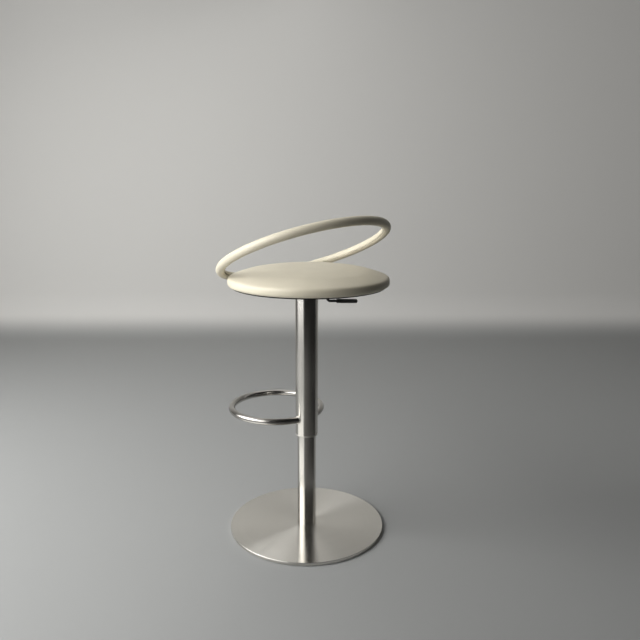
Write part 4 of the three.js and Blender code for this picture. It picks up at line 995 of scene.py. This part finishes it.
class STOOL_OT_hoop(bpy.types.Operator):
    """Hoop backrest: leather sewn round a padded steel ring, its seam along the inside"""

    bl_idname = "stool.hoop"
    bl_label = "Hoop"

    def execute(self, context):
        sewing = context.scene.stool_hoop
        centre, ring = hoop_place()
        seam_width = 0.0013
        clear_selection()
        bpy.ops.mesh.primitive_torus_add(
            major_segments=4 * sewing.stitches, minor_segments=WRAP_SIDES, major_radius=ring,
            minor_radius=WRAP_RADIUS,
        )
        hoop = settle(named("hoop_wrap"))
        seam_height = -WRAP_RADIUS * math.sin(SEAM_TURN)
        round_off(
            hoop, "EDGE",
            lambda place, along: place.xy.length < ring and abs(place.z - seam_height) < NEAR, seam_width, 6,
        )
        sew_seam(hoop, ring, sewing.stitches)
        turn_ring(hoop, centre)
        smooth(hoop, 60)
        dress(hoop, SEAT, "cream_leather", finish_of("cream_leather"), "hoop_cover", "hoop_padding")
        thread = stitch_ring(ring, sewing)
        turn_ring(thread, centre)
        smooth(thread, 60)
        dress(thread, SEAT, "cream_leather", finish_of("thread"))
        return {"FINISHED"}


def turn_ring(piece, centre):
    """Tilts a level ring about its own centre, turns it about the column and moves it to its place"""
    turn = Matrix.Rotation(HOOP_TURN, 3, "Z") @ Matrix.Rotation(HOOP_TILT, 3, "X")
    place_points(piece, points_of(piece) @ np.asarray(turn).T + np.asarray(centre))


def round_ring(ring, out, angle, up):
    """Places round a level ring, from how far each lies out from its centreline, round it and above it"""
    return np.stack([(ring + out) * np.cos(angle), (ring + out) * np.sin(angle), up], axis=1)


def ridge(across, place, width):
    """1 at a place on both sides of the seam, and less over a width beside it"""
    return np.exp(-(((np.abs(across) - place) / width) ** 2))


def sew_seam(hoop, ring, stitches):
    """Sinks the seam between two soft lips that dip at each stitch, and lets the padding vary a little"""
    groove_depth, groove_width, pull_in = 0.0009, 0.0006, 0.0001
    lip_height, lip_place, lip_width = 0.00022, 0.0017, 0.0011
    dimple_depth, dimple_place, dimple_width = 0.0006, 0.0022, 0.0007
    unevenness = 0.00012
    points = points_of(hoop)
    reach = np.hypot(points[:, 0], points[:, 1])
    angle = np.arctan2(points[:, 1], points[:, 0])
    out, up = reach - ring, points[:, 2]
    section = np.hypot(out, up)
    across = (np.arctan2(up, -out) + SEAM_TURN) * WRAP_RADIUS
    groove = -groove_depth * ridge(across, 0, groove_width)
    lips = lip_height * ridge(across, lip_place, lip_width)
    pull = 0.5 + 0.5 * np.cos(angle * stitches)
    dimples = -dimple_depth * pull * ridge(across, dimple_place, dimple_width)
    soft = unevenness * np.sin(angle * 19 + 1.3) * np.cos(np.arctan2(up, out) + angle * 2)
    share = (section + groove + lips + dimples + soft - pull_in) / np.maximum(section, 1e-9)
    place_points(hoop, round_ring(ring, out * share, angle, up * share))


def stitch_ring(ring, sewing):
    """One slanted stitch over the seam, copied round the inside of the ring"""
    length, slant_share, straight_share = sewing.stitch_length, 0.45, 0.55
    proud, end_drop = 0.00005, 0.0007
    clear_selection()
    bpy.ops.mesh.primitive_cylinder_add(vertices=6, radius=sewing.thread / 2, depth=length)
    stitch = settle(named("hoop_stitches"))
    pick(stitch, "FACE", lambda place, normal: abs(normal.z) > 0.9)
    bpy.ops.mesh.inset(thickness=sewing.thread * 0.22, depth=sewing.thread * 0.18)
    done_editing()
    pick(stitch, "EDGE", lambda place, along: abs(along.z) > length * 0.8)
    bpy.ops.mesh.subdivide(number_cuts=3)
    done_editing()
    points = points_of(stitch)
    from_middle = np.abs(points[:, 2] / (length / 2))
    curve = WRAP_RADIUS + proud - end_drop * (2 * np.clip(from_middle - straight_share, 0, 1)) ** 2
    turn = points[:, 2] / WRAP_RADIUS - SEAM_TURN
    radial = curve + points[:, 0]
    angle = (points[:, 2] * slant_share + points[:, 1]) / (ring - WRAP_RADIUS)
    place_points(stitch, round_ring(ring, -radial * np.cos(turn), angle, radial * np.sin(turn)))
    facing_out(stitch)
    bpy.ops.object.empty_add(location=(0, 0, 0), rotation=(0, 0, 2 * math.pi / sewing.stitches))
    step = bpy.context.object
    finished(
        stitch, "ARRAY", count=sewing.stitches, use_relative_offset=False,
        use_object_offset=True, offset_object=step,
    )
    bpy.data.objects.remove(step)
    return stitch


# What stays of the frame


class STOOL_OT_hardware(bpy.types.Operator):
    """Screws, plates and lift parts of the frame get their own finishes"""

    bl_idname = "stool.hardware"
    bl_label = "Hardware Finishes"

    def execute(self, context):
        for row in frame["record"]["subparts"]:
            piece = frame["nodes"][row["node"]]
            if not piece.hide_render:
                piece.data.materials.clear()
                piece.data.materials.append(finish_of(row["material_slot"]))
        return {"FINISHED"}


# Stage

CAMERA_BEARING = math.radians(47)
CAMERA_DISTANCE = 1.740
CAMERA_HEIGHT = 0.9585
CAMERA_PITCH = math.radians(12.14)
CAMERA_YAW = math.radians(1.155)
CAMERA_ROLL = math.radians(0.20)
CAMERA_LENS = 38.25
SENSOR = 36.0

# Directions in the frame: to the camera's right, away from the camera and up
RIGHT = Vector((-math.sin(CAMERA_BEARING), math.cos(CAMERA_BEARING), 0))
AWAY = Vector((-math.cos(CAMERA_BEARING), -math.sin(CAMERA_BEARING), 0))
UP = Vector((0, 0, 1))

# Colours of the lights, of the glowing card that paints a pale reflection, and of the dark cloth that paints shade
KEY_LIGHT = (0.985, 0.99, 0.985)
WIDE_LIGHT = (0.99, 0.985, 0.97)
LOW_LIGHT = (1, 0.995, 0.985)
CEILING_LIGHT = (1, 0.99, 0.97)
ROOM_LIGHT = (1, 0.995, 0.98)
REFLECTION_CARD_WHITE = (0.8, 0.8, 0.78)
REFLECTION_CARD_GLOW = (1, 0.99, 0.96)
PAINTED_SHADE_BLACK = (0.008, 0.008, 0.008)
PAINTED_SHADE_GREY = (0.16, 0.155, 0.15)

# How far from the column's axis the screens on the floor start
SCREEN_INNER = 0.24


def studio_place(right, away, up):
    """A place, or a direction, from the column's foot: to the camera's right, away from the camera and up"""
    return RIGHT * right + AWAY * away + UP * up


def seen_rays(tree):
    """1 on the rays by which the camera sees, straight, in a reflection or through glass, and 0 on others"""
    rays = add_node(tree, "ShaderNodeLightPath").outputs
    seen = rays["Is Camera Ray"]
    for ray in ("Is Glossy Ray", "Is Transmission Ray"):
        seen = add_node(tree, "ShaderNodeMath", {0: seen, 1: rays[ray]}, operation="MAXIMUM").outputs[0]
    return seen


def outside_sector(middle, half_angle):
    """Test that faces pass which lie further round the column from a direction than an angle"""
    toward = middle.normalized().xy
    return lambda place, normal: place.xy.normalized().dot(toward) < math.cos(half_angle)


def floor_screen(name, outer, height, middle, half_angle, material):
    """Part of a flat ring just over the floor that only reflections see"""
    clear_selection()
    bpy.ops.mesh.primitive_circle_add(vertices=96, radius=outer, fill_type="NGON", location=(0, 0, height))
    screen = settle(named(name))
    open_up(screen, everywhere, outer - SCREEN_INNER)
    cut_away(screen, outside_sector(middle, half_angle))
    screen.data.materials.append(material)
    screen.visible_camera = screen.visible_diffuse = screen.visible_shadow = False


class STOOL_OT_stage(bpy.types.Operator):
    """Pale floor and backdrop, soft window light from the left and the camera"""

    bl_idname = "stool.stage"
    bl_label = "Studio Stage"

    def execute(self, context):
        stage = context.scene.stool_stage
        self.sweep(stage)
        self.flag()
        self.card()
        self.lamp("window_key", (1.4, 1.7), (-1.97, -0.35, 1.75), stage.key_power, KEY_LIGHT)
        self.lamp("window_wide", (3.1, 1.7), (-1.97, -0.8, 1.55), stage.wide_power, WIDE_LIGHT)
        low = self.lamp("window_low", (2.4, 0.7), (-1.9, -0.6, 0.42), stage.low_power, LOW_LIGHT)
        low.visible_glossy = False
        self.lamp("ceiling_fill", (2.2, 2.2), (-0.5, 1.0, 2.6), stage.ceiling_power, CEILING_LIGHT)
        self.world(context, stage)
        self.camera(context)
        context.scene.view_settings.view_transform = "Standard"
        return {"FINISHED"}

    def sweep(self, stage):
        """Floor that bends up into the backdrop at its far side"""
        size, far, rise, bend, near = 16, 2.4, 4, 0.25, 0.01
        clear_selection()
        bpy.ops.mesh.primitive_plane_add(
            size=size, location=(0, 0, 0), rotation=(0, 0, CAMERA_BEARING + math.pi / 2)
        )
        floor = settle(named("studio_floor"))
        pick(floor, "EDGE", lambda place, along: place.dot(AWAY) > size / 2 - near)
        bpy.ops.transform.translate(value=AWAY * (far - size / 2))
        bpy.ops.mesh.extrude_region_move(TRANSFORM_OT_translate={"value": (0, 0, rise)})
        done_editing()
        round_off(
            floor, "EDGE",
            lambda place, along: abs(place.dot(AWAY) - far) < near and abs(place.z) < near, bend, 16,
        )
        smooth(floor, 60)
        floor.data.materials.append(self.sweep_finish(stage))

    def sweep_finish(self, stage):
        """Floor colour that goes over to the backdrop's with height, and stays even where it is seen"""
        blend_height = 0.12
        finish = Finish("Studio sweep", stage.floor_colour, 0.8, Specular_IOR_Level=0.2)
        height = finish.node("ShaderNodeSeparateXYZ", {0: finish.coordinates}).outputs[2]
        inputs = {"Value": height, 1: 0.0, 2: blend_height, 3: 0.0, 4: 1.0}
        rise = finish.node("ShaderNodeMapRange", inputs, interpolation_type="SMOOTHSTEP").outputs[0]
        inputs = {"Factor": rise, 6: (*stage.floor_colour, 1), 7: (*stage.backdrop_colour, 1)}
        finish.feed("Base Color", finish.node("ShaderNodeMix", inputs, data_type="RGBA").outputs[2])
        seen = finish.maths("MULTIPLY", seen_rays(finish.tree), rise)
        finish.set(Emission_Color=(*stage.backdrop_colour, 1))
        finish.feed("Emission Strength", finish.maths("MULTIPLY", seen, stage.backdrop_glow))
        return finish.material

    def flag(self):
        """Painted shade right of the camera: dark cloth, upright and on the floor, unseen by the camera and
        casting no shadow, which the steel's shaded side reflects
        """
        radius, low, high = 1.25, 0.1, 2.9
        middle, half_angle = studio_place(0.84, -1.0, 0), math.radians(64)
        finish = Finish("Painted shade cloth", PAINTED_SHADE_BLACK, 0.9)
        # Painted shade: the cloth is darker to the right, and from some way above the floor upwards
        inputs = {0: finish.coordinates, 1: RIGHT}
        across = finish.node("ShaderNodeVectorMath", inputs, operation="DOT_PRODUCT").outputs["Value"]
        height = finish.node("ShaderNodeSeparateXYZ", {0: finish.coordinates}).outputs[2]
        darker = finish.between(across, 0.2, 0.8, -0.4, 1.1)
        darker = finish.maths("MAXIMUM", darker, finish.between(height, 0, 1, 0.3, 0.45))
        finish.tint(darker, PAINTED_SHADE_GREY, PAINTED_SHADE_BLACK)
        # The upright screen is painted shade: the camera doesn't see it and it casts no shadow, but bounce light
        # and reflections see it
        screen = cylinder("studio_shade_screen", 96, radius, low, high, end_fill_type="NOTHING")
        cut_away(screen, outside_sector(middle, half_angle))
        screen.data.materials.append(finish.material)
        screen.visible_camera = screen.visible_shadow = False
        floor_screen("studio_shade_sheet", radius, 0.012, middle, half_angle, finish.material)

    def card(self):
        """Glowing card low on the left that only reflections see: a painted reflection that draws the pale stripe
        down the tubes
        """
        # Painted reflection: the card glows, though it is no lamp, and lights nothing but the steel's reflections
        finish = Finish("Glowing reflection card", REFLECTION_CARD_WHITE, 0.9, Emission_Strength=0.65)
        finish.set(Emission_Color=(*REFLECTION_CARD_GLOW, 1))
        middle = studio_place(-0.94, -0.34, 0)
        floor_screen("studio_reflection_card", 0.62, 0.014, middle, math.radians(33), finish.material)

    def lamp(self, name, size, place, power, colour):
        """Soft rectangular light that faces the middle of the stool"""
        place = studio_place(*place)
        clear_selection()
        bpy.ops.object.light_add(type="AREA", location=place)
        lamp = bpy.context.object
        lamp.name = name
        lamp.data.shape = "RECTANGLE"
        lamp.data.size, lamp.data.size_y = size
        lamp.data.energy = power
        lamp.data.color = colour
        lamp.rotation_euler = (Vector((0, 0, 0.5)) - place).to_track_quat("-Z", "Y").to_euler()
        lamp.visible_camera = False
        return lamp

    def world(self, context, stage):
        """Light of the whole room, stronger from the window's side, and a plain sky where it is seen"""
        dark_side, bright_side, dark, bright = -0.7, 0.9, 0.05, 1.6
        world = bpy.data.worlds.new("Studio room")
        context.scene.world = world
        world.use_nodes = True
        tree = world.node_tree
        inputs = {
            0: add_node(tree, "ShaderNodeTexCoord").outputs["Generated"],
            1: studio_place(-0.8, 0.45, 0.35).normalized(),
        }
        toward = add_node(tree, "ShaderNodeVectorMath", inputs, operation="DOT_PRODUCT").outputs["Value"]
        inputs = {0: toward, 1: dark_side, 2: bright_side, 3: dark, 4: bright}
        spread = add_node(tree, "ShaderNodeMapRange", inputs).outputs[0]
        inputs = {0: spread, 1: stage.fill_strength}
        fill = add_node(tree, "ShaderNodeMath", inputs, operation="MULTIPLY").outputs[0]
        inputs = {"Factor": seen_rays(tree), "A": fill, "B": stage.sky_strength}
        strength = add_node(tree, "ShaderNodeMix", inputs).outputs["Result"]
        background = tree.nodes["Background"]
        background.inputs["Color"].default_value = (*ROOM_LIGHT, 1)
        tree.links.new(strength, background.inputs["Strength"])

    def camera(self, context):
        """Camera at the place and angle of the photograph's"""
        yaw, pitch, roll = CAMERA_YAW, CAMERA_PITCH, CAMERA_ROLL
        forward = RIGHT * math.sin(yaw) * math.cos(pitch) + AWAY * math.cos(yaw) * math.cos(pitch)
        forward = forward - UP * math.sin(pitch)
        side = RIGHT * math.cos(yaw) - AWAY * math.sin(yaw)
        top = side.cross(forward)
        across = side * math.cos(roll) + top * math.sin(roll)
        above = top * math.cos(roll) - side * math.sin(roll)
        turn = Matrix((across, above, -forward)).transposed()
        place = studio_place(0, -CAMERA_DISTANCE, CAMERA_HEIGHT)
        clear_selection()
        bpy.ops.object.camera_add(location=place, rotation=turn.to_euler())
        camera = bpy.context.object
        camera.name = "photo_camera"
        camera.data.lens = CAMERA_LENS
        camera.data.sensor_width = SENSOR
        camera.data.clip_start, camera.data.clip_end = 0.05, 60
        context.scene.camera = camera


# Panel and registration

GROUPS = {
    "stool_finish": StoolFinish,
    "stool_seat": StoolSeat,
    "stool_hoop": StoolHoop,
    "stool_stage": StoolStage,
}
BUILD_STEPS = (
    STOOL_OT_base_disc,
    STOOL_OT_column,
    STOOL_OT_foot_rail,
    STOOL_OT_release_lever,
    STOOL_OT_seat_cushion,
    STOOL_OT_underseat_cover,
    STOOL_OT_hoop,
    STOOL_OT_hardware,
    STOOL_OT_stage,
)


class STOOL_PT_panel(bpy.types.Panel):
    """Lists the stool's settings and pieces in the sidebar"""

    bl_idname = "STOOL_PT_panel"
    bl_label = "Counter Stool"
    bl_space_type = "VIEW_3D"
    bl_region_type = "UI"
    bl_category = "Counter Stool"

    def draw(self, context):
        for name in GROUPS:
            group = getattr(context.scene, name)
            box = self.layout.box()
            for key in group.__annotations__:
                box.prop(group, key)
        for step in BUILD_STEPS:
            self.layout.operator(step.bl_idname)


CLASSES = (*GROUPS.values(), *BUILD_STEPS, STOOL_PT_panel)


def register():
    """Makes the classes and their settings known to Blender"""
    for cls in CLASSES:
        bpy.utils.register_class(cls)
    for key, group in GROUPS.items():
        setattr(bpy.types.Scene, key, bpy.props.PointerProperty(type=group))


def unregister():
    """Takes the settings and the classes away again"""
    for key in GROUPS:
        delattr(bpy.types.Scene, key)
    for cls in reversed(CLASSES):
        bpy.utils.unregister_class(cls)


def main():
    """Makes all pieces in order"""
    register()
    for step in BUILD_STEPS:
        getattr(bpy.ops.stool, step.bl_idname.removeprefix("stool."))()
    clear_selection()


if __name__ == "__main__":
    main()
